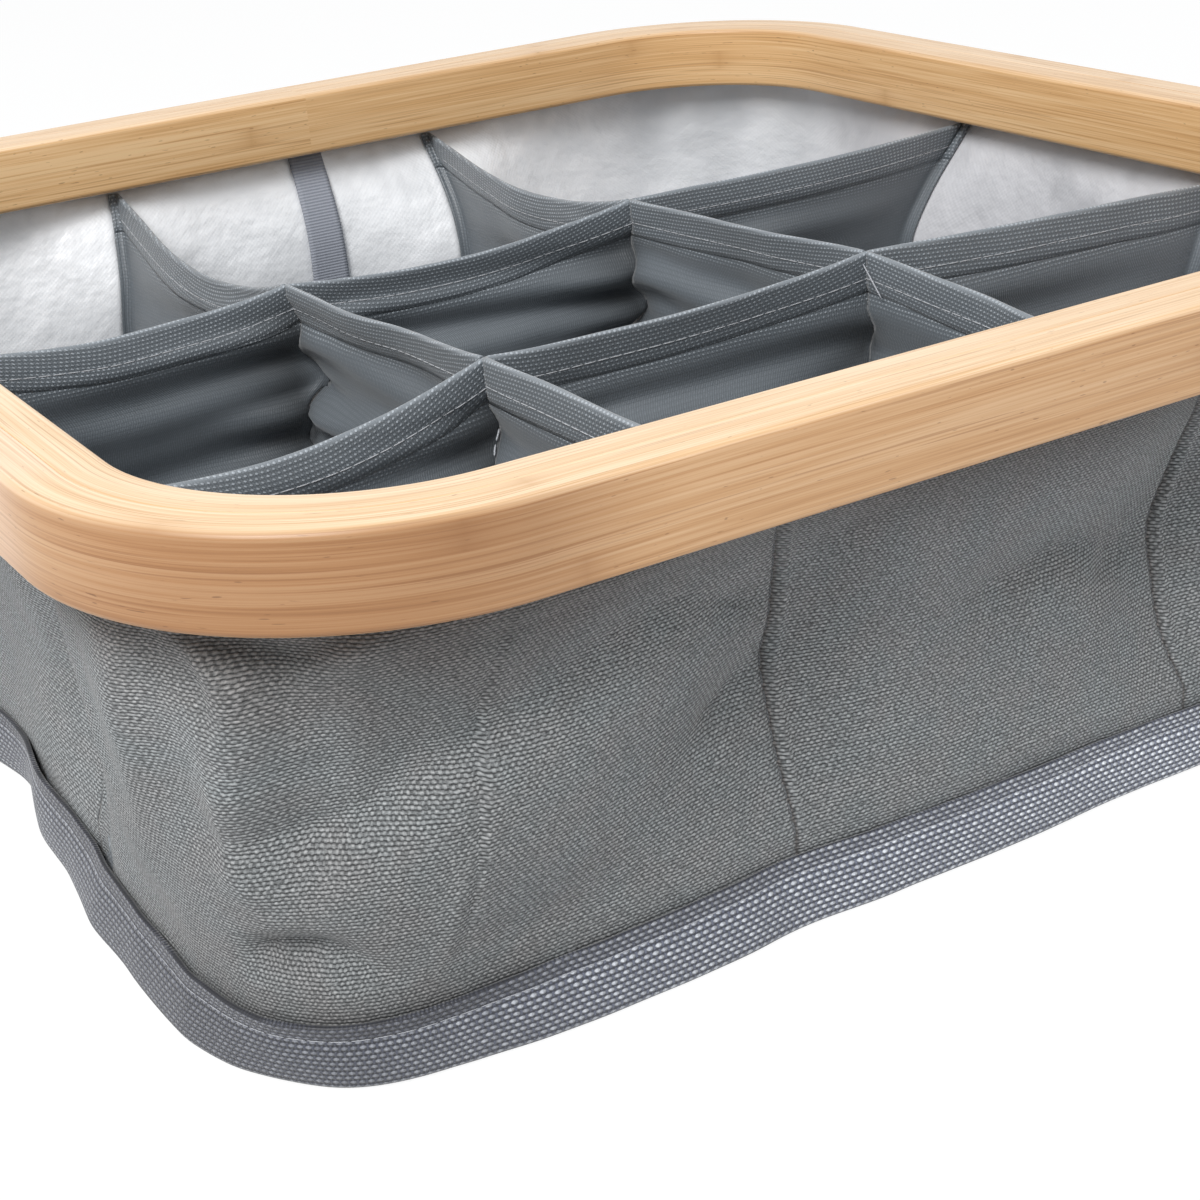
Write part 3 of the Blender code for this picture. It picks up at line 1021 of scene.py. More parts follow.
@dataclass(frozen=True)
class Seam:
    """A stitch line where a divider is sewn to the wall, in millimetres."""

    side: Side
    place: float
    depth: float
    wander: tuple[tuple[float, float], ...] = ((16, 0), (77, 0))
    steepness: float = 0.75

    def shift(self, level: np.ndarray) -> np.ndarray:
        """How far the line strays along the wall at levels in metres."""
        return through(self.wander, level / MM) * MM


SEAM_REACH = 0.04
SEAM_COLUMNS = 25
JOINT_SHARE = -0.05


@dataclass(frozen=True)
class Columns:
    """Columns that go round the tray: their side, share of the straight and share of the turn."""

    side: np.ndarray
    straight: np.ndarray
    turn: np.ndarray

    def directions(self) -> tuple[np.ndarray, np.ndarray, np.ndarray]:
        """Directions at each column.

        Returns:
            Along its side, out of its side, and out of the cloth.
        """
        turn = (self.turn * math.pi / 2)[:, None]
        alongs = np.array([side.along() for side in Side])[self.side]
        outwards = np.array([side.outward() for side in Side])[self.side]
        return alongs, outwards, outwards * np.cos(turn) + alongs * np.sin(turn)

    @staticmethod
    def around(
        straight_step: float, corner_steps: int, seams: Sequence[tuple[Side, float]] = ()
    ) -> "Columns":
        """Columns all the way round, from the joint in the back wall.

        Args:
            straight_step: Steps along each straight, as a share of its half.
            corner_steps: Steps round each corner.
            seams: Side and share of each seam beside which the columns are closer.

        Returns:
            The columns.
        """
        columns = []
        for side in Side:
            shares = list(np.arange(-1, 1, straight_step))
            for middle in (share for seam_side, share in seams if seam_side == side):
                shares = [share for share in shares if abs(share - middle) > SEAM_REACH]
                shares += list(middle + np.linspace(-SEAM_REACH, SEAM_REACH, SEAM_COLUMNS))
            columns += [(side.value, share, 0.0) for share in sorted(shares)]
            columns += [(side.value, 1.0, step / corner_steps) for step in range(corner_steps)]
        joint = (Side.BACK.value, JOINT_SHARE)
        first = next(i for i, column in enumerate(columns) if column[0] == joint[0] and column[1] > joint[1])
        columns = columns[first:] + columns[:first]
        side, straight, turn = (np.array(part) for part in zip(*columns))
        return Columns(side, straight, turn)


@dataclass(frozen=True)
class TrayForm:
    """Sizes of the tray, as the frame has them, and the forms of its hanging cloth."""

    side: float = 320 * MM
    height: float = 94 * MM
    rim_height: float = 16.5 * MM
    rim_width: float = 16 * MM
    rim_radius: float = 59 * MM
    gap: float = 0.3 * MM
    groove_depth: float = 7 * MM
    strip_thickness: float = 1.6 * MM
    cloth: float = 0.7 * MM
    seam_inset: float = 9 * MM
    seam_radius: float = 34 * MM
    board: float = 1.5 * MM
    binding_height: float = 12.4 * MM
    binding_tape: float = 0.9 * MM
    belly: float = -6.2 * MM
    corner_belly: float = 1.5 * MM
    corner_ridge: float = 2.6 * MM
    flat_ends: float = 0.5
    pinch_reach: float = 17 * MM
    pinch_crease: float = 3.5 * MM
    pinch_sharpness: float = 0.15
    pucker: float = 0.7 * MM
    stitch_dip: float = 0.5 * MM
    wrinkle: float = 0.9 * MM
    fine_wrinkle: float = 0.25 * MM
    wander_reach: float = 20 * MM
    middle_radius: float = 42 * MM
    closing_stretch: float = 40 * MM
    divider_lines: tuple[float, float] = (-50 * MM, 44 * MM)
    edge_drawn: tuple[tuple[float, float], ...] = (
        (-192, 1), (-165, 4.5), (-142, 8), (-127, 8), (-108, 5), (-90, 4.6), (-78, 4.2), (-70, 3), (-54, 2.3),
        (-36, 2.4), (-20, 1.9), (-6, -0.6), (7, -1.9), (28, -0.9), (55, -0.8), (80, 0.2), (94, 1.4), (110, 0),
        (133, -0.9), (160, -0.5), (181, -1), (230, 0.4), (300, 0), (399, 1.8), (450, 0), (495, -1), (560, 0),
        (640, 0.4), (703, 2.4), (760, 0), (793, -1), (860, 0), (952, 1),
    )
    edge_lean: tuple[tuple[float, float], ...] = (
        (-192, 2.4), (-142, 1.5), (-127, -0.2), (-108, 1.6), (-90, 2.2), (-77, 3.8), (-54, 3.2), (-36, 3),
        (-18, 1.5), (-6, -0.4), (7, -0.5), (28, 0.3), (50, 3), (75, 3.4), (94, 3.2), (133, 2.2), (181, 1.4),
        (240, 2.4), (400, 1.8), (600, 2.6), (800, 2), (952, 2.4),
    )
    seams: tuple[Seam, ...] = (
        Seam(
            Side.FRONT, -50, 6.5,
            ((16, -1.2), (31, 0), (45, 1.2), (52, 2.2), (59, 2.5), (66, 1.4), (77, -2)),
        ),
        Seam(
            Side.FRONT, 44, 8.5,
            ((16, -6.6), (25, -7.2), (35, -5.6), (45, -2.7), (52, 0.9), (59, 3), (66, 2.9), (77, -3)),
        ),
        Seam(Side.RIGHT, -50, 6, ((16, 0), (40, 1.5), (60, -1), (77, 0))),
        Seam(Side.RIGHT, 44, 12, ((16, 0), (40, 5), (55, 4), (77, 0)), 1.3),
        Seam(Side.BACK, -44, 10, ((16, -0.5), (45, -1), (60, -1), (77, 0)), 1.2),
        Seam(Side.BACK, 50, 5, ((16, 5), (45, 5), (60, 3), (77, 0))),
        Seam(Side.LEFT, -44, 7, ((16, 0), (45, 2), (77, 0))),
        Seam(
            Side.LEFT, 50, 5.5,
            ((16, 19), (24, 17), (31, 14.5), (38, 13), (46, 9), (58, 10), (66, 12), (77, 8)),
        ),
    )
    folds: tuple[Fold, ...] = (
        Fold((-15, 77), (-4, 67), 4.4, 3.0, 3.4),
        Fold((-3.5, 68), (-4.5, 52), 5.6, 9.0, 7.0),
        Fold((-4.5, 55), (-8, 40), 5.2, 9.0, 7.0),
        Fold((-8, 43), (-3, 31), 2.2, 8.0, 4.5),
        Fold((-10, 70), (-7, 61), -1.8, 2.5, 2.5),
        Fold((-21, 72), (-27, 50), 3.2, 4.5, 7.0),
        Fold((-27, 53), (-38, 30), 1.6, 5.0, 7.0),
        Fold((-14, 75), (5, 74), -7.0, 5.0, 6.0),
        Fold((8, 70), (17, 77), 3.2, 2.5, 5.0),
        Fold((2, 66), (5, 56), -2.4, 6.0, 6.0),
        Fold((-8, 42), (12, 43), -6.0, 19.0, 4.5),
        Fold((8, 43), (32, 53), -5.2, 18.0, 5.5),
        Fold((26, 53), (56, 62), -4.2, 14.0, 9.0),
        Fold((50, 62), (84, 68), -3.2, 10.0, 9.0),
        Fold((-10, 20.5), (-2, 24.5), -2.8, 2.2, 6.5),
        Fold((-3, 24.5), (8, 24.5), -3.1, 2.0, 7.0),
        Fold((7, 24.5), (21, 17), -3.0, 2.4, 6.5),
        Fold((31, 35), (27, 15), 1.0, 2.2, 2.6),
        Fold((40, 19), (58, 17), -1.8, 5.0, 3.0),
        Fold((76, 38), (90, 44), -3.2, 5.0, 5.0),
        Fold((88, 57), (76, 61), -1.8, 3.0, 4.0),
        Fold((96, 66), (112, 70), -1.4, 4.0, 5.0),
        Fold((136, 47), (160, 48), -3.2, 9.0, 5.0),
        Fold((156, 49), (178, 44), -4.2, 8.0, 5.0),
        Fold((176, 42), (166, 40), -1.8, 2.5, 3.0),
        Fold((-62, 66), (-50, 40), -2.4, 7.0, 7.0),
        Fold((-46, 64), (-44, 30), 2.4, 6.0, 6.0),
    )

    @property
    def rim_bottom(self) -> float:
        """Level of the rim's underside."""
        return self.height - self.rim_height

    @property
    def seam_half(self) -> float:
        """Half width of the base at its seam."""
        return self.side / 2 - self.seam_inset

    @property
    def hem_leg(self) -> float:
        """From the middle of the hem strip to the middle of the cloth beside it."""
        return self.strip_thickness / 2 + self.gap + self.cloth / 2

    @property
    def hem_top(self) -> float:
        """Level of the hem's fold in the groove."""
        return self.rim_bottom + self.groove_depth - self.gap - self.cloth / 2

    @property
    def base_inner_level(self) -> float:
        """Level of the middle of the base's inner cloth."""
        return self.binding_height + 3 * self.gap + self.cloth * 1.5 + self.board

    @property
    def base_top(self) -> float:
        """Level of the cells' floor."""
        return self.base_inner_level + self.cloth / 2

    @property
    def bound_levels(self) -> tuple[float, float, float]:
        """Levels of the rows of cloth inside the binding."""
        return self.binding_height, self.binding_height / 2, self.binding_tape + self.gap

    @property
    def middle_straight(self) -> float:
        """Half length of a straight of the wall at mid-height."""
        return self.side / 2 - self.rim_width / 2 - self.middle_radius

    @property
    def whole_girth(self) -> float:
        """Length of the wall cloth all the way round."""
        return 4 * (2 * self.middle_straight + self.middle_radius * math.pi / 2)

    @property
    def seam_shares(self) -> list[tuple[Side, float]]:
        """Side of each seam and its place as a share of the straight's half."""
        return [(seam.side, seam.place * MM / self.middle_straight) for seam in self.seams]

    def share(self, level: np.ndarray) -> np.ndarray:
        """0 at the rim's underside and 1 at the cells' floor."""
        return np.clip((self.rim_bottom - level) / (self.rim_bottom - self.base_top), 0, 1)

    def outline(self, level: np.ndarray) -> tuple[np.ndarray, np.ndarray]:
        """Outline of the wall cloth's middle.

        Args:
            level: Levels.

        Returns:
            Half width and corner radius at each level.
        """
        top_half = (self.side - self.rim_width) / 2 + self.hem_leg
        top_radius = self.rim_radius - self.rim_width / 2 + self.hem_leg
        share = self.share(level)
        half = top_half + (self.seam_half - top_half) * share
        radius = top_radius + (self.seam_radius - top_radius) * share
        return half, radius

    def girth(self, columns: Columns) -> np.ndarray:
        """Place along the wall cloth, counted from the middle of the near corner.

        Args:
            columns: The columns.

        Returns:
            One place a column.
        """
        turn = self.middle_radius * math.pi / 2
        quarter = 2 * self.middle_straight + turn
        run = columns.side * quarter + (columns.straight + 1) * self.middle_straight + columns.turn * turn
        whole = self.whole_girth
        return (run + turn / 2 + whole / 6) % whole - whole / 6

    def unrolled(self, columns: Columns) -> np.ndarray:
        """Place along the wall cloth, counted from the first column."""
        girth = self.girth(columns)
        return (girth - girth[0]) % self.whole_girth

    def noise_around(
        self, girth: np.ndarray, level: np.ndarray | float, frequency: float, seed: float, octaves: int = 1
    ) -> np.ndarray:
        """Smooth noise over the wall cloth, whose last stretch leads back to its start.

        Args:
            girth: Places along the cloth.
            level: Levels.
            frequency: Periods in a metre.
            seed: Which noise it is.
            octaves: How many octaves.

        Returns:
            The noise.
        """
        spots = spread(girth, level, 0.0)
        noise = smooth_noise(spots, frequency, seed, octaves)
        share = np.clip(1 + (spots[..., 0] - self.whole_girth * 5 / 6) / self.closing_stretch, 0, 1)
        closing = share > 0
        if closing.any():
            before = spots[closing] - np.array([self.whole_girth, 0.0, 0.0])
            share = share[closing] ** 2 * (3 - 2 * share[closing])
            noise[closing] += (smooth_noise(before, frequency, seed, octaves) - noise[closing]) * share
        return noise

    def edge(self, columns: Columns, level: np.ndarray) -> tuple[np.ndarray, np.ndarray]:
        """How the base's edge departs from its outline.

        Args:
            columns: The columns.
            level: Levels, rows by 1.

        Returns:
            How far it is drawn in, and how far it leans out below the binding's top.
        """
        girth = self.girth(columns)[None, :] / MM
        lean = through(self.edge_lean, girth) * np.maximum(1 - level / self.binding_height, 0)
        return through(self.edge_drawn, girth) * MM, lean * MM

    def wall_points(
        self, columns: Columns, level: np.ndarray, inset: float = 0.0, still: bool = False
    ) -> np.ndarray:
        """Points of the wall cloth's middle.

        Args:
            columns: The columns.
            level: Level of each row.
            inset: How far inside the cloth's middle.
            still: Whether it is the flat outline, without the hanging cloth's swell.

        Returns:
            Rows by columns by 3.
        """
        half, radius = (x[:, None] for x in self.outline(level))
        level = level[:, None]
        straight = half - radius
        place = columns.straight[None, :] * straight
        alongs, outwards, facing = columns.directions()
        drawn, lean = self.edge(columns, level)
        out = radius - drawn * self.share(level) + lean - inset
        if not still:
            swell, stray = self.hang(columns, place, level)
            out, place = out + swell, place + stray
        centre = alongs[None] * place[..., None] + outwards[None] * straight[..., None]
        points = centre + facing[None] * out[..., None]
        points[..., 2] = np.broadcast_to(level, points.shape[:2])
        return points

    def wall_line(self, side: Side, place: float, levels: np.ndarray, inset: float) -> np.ndarray:
        """Points of the wall cloth down one of its threads.

        Args:
            side: The side.
            place: Place along it.
            levels: Levels of the points.
            inset: How far inside the cloth's middle.

        Returns:
            One point a level.
        """
        half, radius = self.outline(levels)
        sides, turns = np.full(levels.shape, side.value), np.zeros(levels.shape)
        points = self.wall_points(Columns(sides, place / (half - radius), turns), levels, inset)
        each = np.arange(len(levels))
        return points[each, each]

    def hang(
        self, columns: Columns, place: np.ndarray, level: np.ndarray
    ) -> tuple[np.ndarray, np.ndarray]:
        """How the hanging cloth departs from its outline.

        Args:
            columns: The columns.
            place: Place along the side, rows by columns.
            level: Levels, rows by 1.

        Returns:
            How far it stands out, and how far it strays along the side.
        """
        side, turn = columns.side[None, :], columns.turn[None, :]
        share = self.share(level)
        hang = np.sin(math.pi * share)
        flat = (turn == 0) * np.clip((1 - np.abs(columns.straight[None, :])) / self.flat_ends, 0, 1)
        flat = flat * flat * (3 - 2 * flat)
        near = side == Side.LEFT.value
        corner_belly = np.where(near, 0.0, self.corner_belly)
        swell = (self.belly * flat + corner_belly * (1 - flat)) * hang + np.zeros_like(place)
        stray = np.zeros_like(place)
        for seam in self.seams:
            away = place - seam.place * MM
            on = (side == seam.side.value) & (turn == 0)
            broad = np.exp(-((away / self.pinch_reach) ** 2))
            sharp = np.exp(-np.abs(away) / self.pinch_crease)
            pull = (1 - self.pinch_sharpness) * broad + self.pinch_sharpness * sharp
            swell -= on * seam.depth * MM * np.sin(math.pi * share**seam.steepness) * pull
            pucker = self.pucker * np.exp(-(((away - 1.6 * MM) / (0.9 * MM)) ** 2))
            pucker -= self.stitch_dip * np.exp(-(((away + 0.3 * MM) / (0.8 * MM)) ** 2))
            swell += on * pucker * np.clip(share * 14, 0, 1) * np.clip((1 - share) * 6, 0.3, 1)
            stray += on * seam.shift(level) * np.exp(-((away / self.wander_reach) ** 2))
        swell += self.corner_ridge * (1 - np.cos(6 * math.pi * turn)) / 2 * hang * ~near
        girth = self.girth(columns)[None, :]
        folds = sum(fold.at(girth / MM, level / MM, self.whole_girth / MM) for fold in self.folds)
        swell += folds * MM * np.clip(share * 9, 0, 1) * np.clip((1 - share) * 9, 0, 1)
        swell += self.noise_around(girth, level, 36, 11.3, 2) * self.wrinkle * hang
        swell += self.noise_around(girth, level, 120, 4.7) * self.fine_wrinkle * np.sqrt(hang)
        return swell, stray


@dataclass
class Finishes:
    """All the materials of the tray."""

    bamboo: bpy.types.Material = field(default_factory=lambda: Bamboo().material())
    linen: bpy.types.Material = field(default_factory=lambda: UnevenWeave().material())
    silver: bpy.types.Material = field(default_factory=lambda: SilverCoat().material())
    slate: bpy.types.Material = field(
        default_factory=lambda: BeadedWeave(
            "slate_cloth",
            bead_pitch=1.2 * MM,
            row_pitch=0.9 * MM,
            bead_length=0.72 * MM,
            bead_height=0.42 * MM,
            gap=(0.085, 0.099, 0.112),
            ground=(0.165, 0.186, 0.206),
            bead=(0.40, 0.44, 0.48),
            roughness=0.33,
            relief=0.14 * MM,
            unevenness=0.5,
            painted_fold_highlight=0.9,
            fading=0.9,
            painted_shade_colour=(0.2, 0.19, 0.18),
        ).material()
    )
    webbing: bpy.types.Material = field(
        default_factory=lambda: BeadedWeave(
            "blue_grey_webbing",
            bead_pitch=1.6 * MM,
            row_pitch=0.92 * MM,
            bead_length=1.22 * MM,
            bead_height=0.7 * MM,
            gap=(0.012, 0.014, 0.024),
            ground=(0.24, 0.265, 0.35),
            bead=(0.90, 0.94, 1.0),
            roughness=0.45,
            relief=0.45 * MM,
            unevenness=0.45,
            painted_shade_colour=(0.2, 0.2, 0.22),
        ).material()
    )
    tape: bpy.types.Material = field(
        default_factory=lambda: Ribbed(
            "ribbed_tape", 0.8 * MM, (0.255, 0.272, 0.316), (0.37, 0.388, 0.44)
        ).material()
    )
    pale_thread: bpy.types.Material = field(
        default_factory=lambda: Thread("pale_thread", (0.32, 0.33, 0.36), (0.50, 0.51, 0.54)).material()
    )
    divider_thread: bpy.types.Material = field(
        default_factory=lambda: Thread("divider_thread", (0.33, 0.34, 0.36), (0.52, 0.53, 0.55)).material()
    )
    dark_thread: bpy.types.Material = field(
        default_factory=lambda: Thread("dark_thread", (0.05, 0.055, 0.06), (0.14, 0.145, 0.15)).material()
    )
    plastic: bpy.types.Material = field(
        default_factory=lambda: Grained(
            "white_plastic", (0.78, 0.78, 0.76), (0.7, 0.7, 0.68), 2 * MM, 0.45
        ).material()
    )
    board: bpy.types.Material = field(
        default_factory=lambda: Grained(
            "hardboard", (0.30, 0.19, 0.10), (0.2, 0.12, 0.06), 0.8 * MM, 0.85
        ).material()
    )


# Sub-assemblies


@dataclass
class Rim:
    """The bent bamboo rim: two plies glued face to face over a milled groove."""

    form: TrayForm
    edge_round: float = 1.3 * MM
    glue_line: float = 0.06 * MM
    glue_chamfer: float = 0.18 * MM
    groove_chamfer: float = 0.4 * MM
    sharp_angle: float = math.radians(38)
    corner_steps: int = 64
    straight_steps: int = 48
    round_steps: int = 6

    def section(self, direction: int) -> np.ndarray:
        """Section of one ply: x outward from the rim's middle, y up from its underside.

        Args:
            direction: 1 for the outer ply and -1 for the inner.

        Returns:
            Points of the closed section.
        """
        form, edge = self.form, self.edge_round
        face = form.rim_width / 2
        top = form.rim_height
        glue, groove = self.glue_line / 2, form.hem_leg + form.cloth / 2 + form.gap
        points = [(glue + self.glue_chamfer, top), (glue, top - self.glue_chamfer), (glue, form.groove_depth)]
        chamfer = self.groove_chamfer
        points += [(groove, form.groove_depth), (groove, chamfer), (groove + chamfer, 0.0)]
        for start, centre_y in ((-90, edge), (0, top - edge)):
            for step in range(self.round_steps + 1):
                angle = math.radians(start + 90 * step / self.round_steps)
                points.append((face - edge + edge * math.cos(angle), centre_y + edge * math.sin(angle)))
        return np.array([(direction * x, y) for x, y in points])

    def ply(self, name: str, direction: int, material: bpy.types.Material, node: str) -> None:
        """Build one ply.

        Args:
            name: The piece's name.
            direction: 1 for the outer ply and -1 for the inner.
            material: Its material.
            node: The node that it stands for.
        """
        form = self.form
        section = self.section(direction)
        columns = Columns.around(2 / self.straight_steps, self.corner_steps)
        half, radius = (form.side - form.rim_width) / 2, form.rim_radius - form.rim_width / 2
        alongs, outwards, facing = columns.directions()
        centre = alongs * (columns.straight * (half - radius))[:, None] + outwards * (half - radius)
        points = centre[None] + facing[None] * (radius + section[:, 0])[:, None, None]
        points[..., 2] = (form.rim_bottom + section[:, 1])[:, None]
        run = form.unrolled(columns)
        places = spread(run[None, :], section[:, :1] + PLY_SHIFT * direction, section[:, 1:])
        if direction > 0:
            points, places = points[::-1], places[::-1]
        piece = grid_piece(name, points, places, [material], form.whole_girth, closed_rows=True)
        piece.data.set_sharp_from_angle(angle=self.sharp_angle)
        settle(piece, "bamboo", node)

    def build(self, finishes: Finishes) -> None:
        """Build both plies."""
        self.ply("bamboo_outer_ply", 1, finishes.bamboo, "rim_outer_ply")
        self.ply("bamboo_inner_ply", -1, finishes.bamboo, "rim_inner_ply")


@dataclass
class Wall:
    """The wall cloth, its joint tape and its seams."""

    form: TrayForm
    straight_steps: int = 210
    corner_steps: int = 72
    hanging_rows: int = 68
    hem_turn: float = 0.6 * MM
    tape_width: float = 10.5 * MM
    tape_place: float = -5.5 * MM
    tape_thickness: float = 0.8 * MM
    tape_lift: float = 0.5 * MM
    tape_rows: int = 40
    tape_columns: int = 9
    # Painted shadow of the rim on the cloth below it, reaching lower around the near corner.
    rim_shade_depth: float = 16 * MM
    rim_shade_peak: float = 18 * MM
    rim_shade_spread: float = 24 * MM
    # Painted shade in the gap just above the binding, and low on the wall by the near corner.
    foot_depth: float = 1.6 * MM
    foot_painted_shade: float = 0.45
    low_depth: float = 36 * MM
    low_painted_shade: float = 0.34
    corner_spread: float = 60 * MM
    # Width of the painted shade in each seam's crease.
    seam_line: float = 0.5 * MM
    stitch: StitchRow = StitchRow(length=2.6 * MM, gap=0.7 * MM, radius=0.24 * MM)
    stitch_lift: float = 0.05 * MM
    stitch_place: float = -0.3 * MM
    stitch_points: int = 60

    def levels(self) -> np.ndarray:
        """Levels of the hanging cloth's rows.

        Returns:
            Levels from the rim's underside to the edge in the binding.
        """
        form = self.form
        hanging = form.rim_bottom + (form.base_top - form.rim_bottom) * np.linspace(0, 1, self.hanging_rows)
        return np.concatenate([hanging, form.bound_levels])

    def soil(self, columns: Columns, levels: np.ndarray) -> np.ndarray:
        """Painted shade on the cloth: under the rim, down each seam and above the binding by the near corner.

        Args:
            columns: The columns.
            levels: Level of each row.

        Returns:
            Rows by columns.
        """
        form = self.form
        girth = form.girth(columns)
        # Painted shadow under the rim's overhang.
        depth = self.rim_shade_depth * (1 + np.exp(-(((girth - self.rim_shade_peak) / self.rim_shade_spread) ** 2)))
        below_rim = np.clip(1 - (form.rim_bottom - levels)[:, None] / depth, 0, 1) ** 1.2
        # Painted shade just above the binding and low on the wall by the near corner.
        above_base = np.maximum(
            np.clip(1 - (levels - form.base_top) / self.foot_depth, 0, 1) * self.foot_painted_shade,
            np.clip(1 - (levels - form.base_top) / self.low_depth, 0, 1) ** 0.7 * self.low_painted_shade,
        )
        soil = np.maximum(below_rim, above_base[:, None] * np.exp(-((girth / self.corner_spread) ** 2)))
        half, radius = form.outline(levels)
        # Painted shade in each seam's crease.
        for seam in form.seams:
            away = columns.straight[None, :] * (half - radius)[:, None] - seam.place * MM
            on = (columns.side == seam.side.value) & (columns.turn == 0)
            soil = np.maximum(soil, on * np.exp(-((away / self.seam_line) ** 2)))
        return soil

    def cloth(self, finishes: Finishes) -> None:
        """Build the wall cloth with its top hem in the groove.

        Args:
            finishes: The materials.
        """
        form = self.form
        columns = Columns.around(2 / self.straight_steps, self.corner_steps, form.seam_shares)
        levels = self.levels()
        body = form.wall_points(columns, levels)
        top = np.array([form.rim_bottom])
        hem = []
        for inset, height in (
            (2 * form.hem_leg, form.rim_bottom + self.hem_turn),
            (2 * form.hem_leg, form.hem_top),
            (0.0, form.hem_top),
        ):
            row = form.wall_points(columns, top, inset, still=True)
            row[..., 2] = height
            hem.append(row)
        points = np.concatenate([*hem, body])
        run = np.linalg.norm(np.diff(points, axis=0), axis=2).mean(axis=1)
        down = np.concatenate([[0], np.cumsum(run)])
        places = spread(form.unrolled(columns)[None, :], down[:, None], 0.0)
        soil = self.soil(columns, np.concatenate([np.full(len(hem), form.rim_bottom), levels]))
        materials = [finishes.linen, finishes.silver]
        piece = grid_piece("wall_cloth", points, places, materials, form.whole_girth, soil=soil)
        thicken(piece, form.cloth, inner_slot=1)
        names = ["front", "right", "back", "left"]
        nodes = [f"wall_{name}" for name in names]
        nodes += [f"wall_corner_{name}_{names[(number + 1) % 4]}" for number, name in enumerate(names)]
        settle(piece, "linen_grey", *nodes)
        form.whole_girth

    def joint_tape(self, finishes: Finishes) -> None:
        """Build the tape over the wall strip's joint.

        Args:
            finishes: The materials.
        """
        form = self.form
        inset = (form.cloth + self.tape_thickness) / 2 + self.tape_lift
        levels = np.linspace(form.rim_bottom - form.gap, form.base_top + form.gap, self.tape_rows)
        across = self.tape_width * np.linspace(-0.5, 0.5, self.tape_columns)
        shares = (self.tape_place + across) / form.middle_straight
        columns = Columns(np.full(across.shape, Side.BACK.value), shares, np.zeros(across.shape))
        points = form.wall_points(columns, levels, inset)
        places = spread(across[None, :], levels[:, None], 0.0)
        piece = grid_piece("joint_tape", points, places, [finishes.tape])
        thicken(piece, self.tape_thickness)
        settle(piece, "webbing", "wall_joint_tape")

    def stitches(self, finishes: Finishes) -> None:
        """Sew the dividers to the wall: a row of stitches down each seam.

        Args:
            finishes: The materials.
        """
        form = self.form
        levels = np.linspace(form.rim_bottom - 0.5 * MM, form.binding_height + 1 * MM, self.stitch_points)
        lines = []
        for seam in form.seams:
            points = form.wall_line(seam.side, seam.place * MM + self.stitch_place, levels, -form.cloth / 2)
            lines.append((points, np.tile(seam.side.outward(), (len(levels), 1))))
        piece = self.stitch.piece("wall_seam_stitches", lines, finishes.dark_thread, self.stitch_lift)
        settle(piece, "linen_grey")

    def build(self, finishes: Finishes) -> None:
        """Build the wall.

        Args:
            finishes: The materials.
        """
        self.cloth(finishes)
        self.joint_tape(finishes)
        self.stitches(finishes)


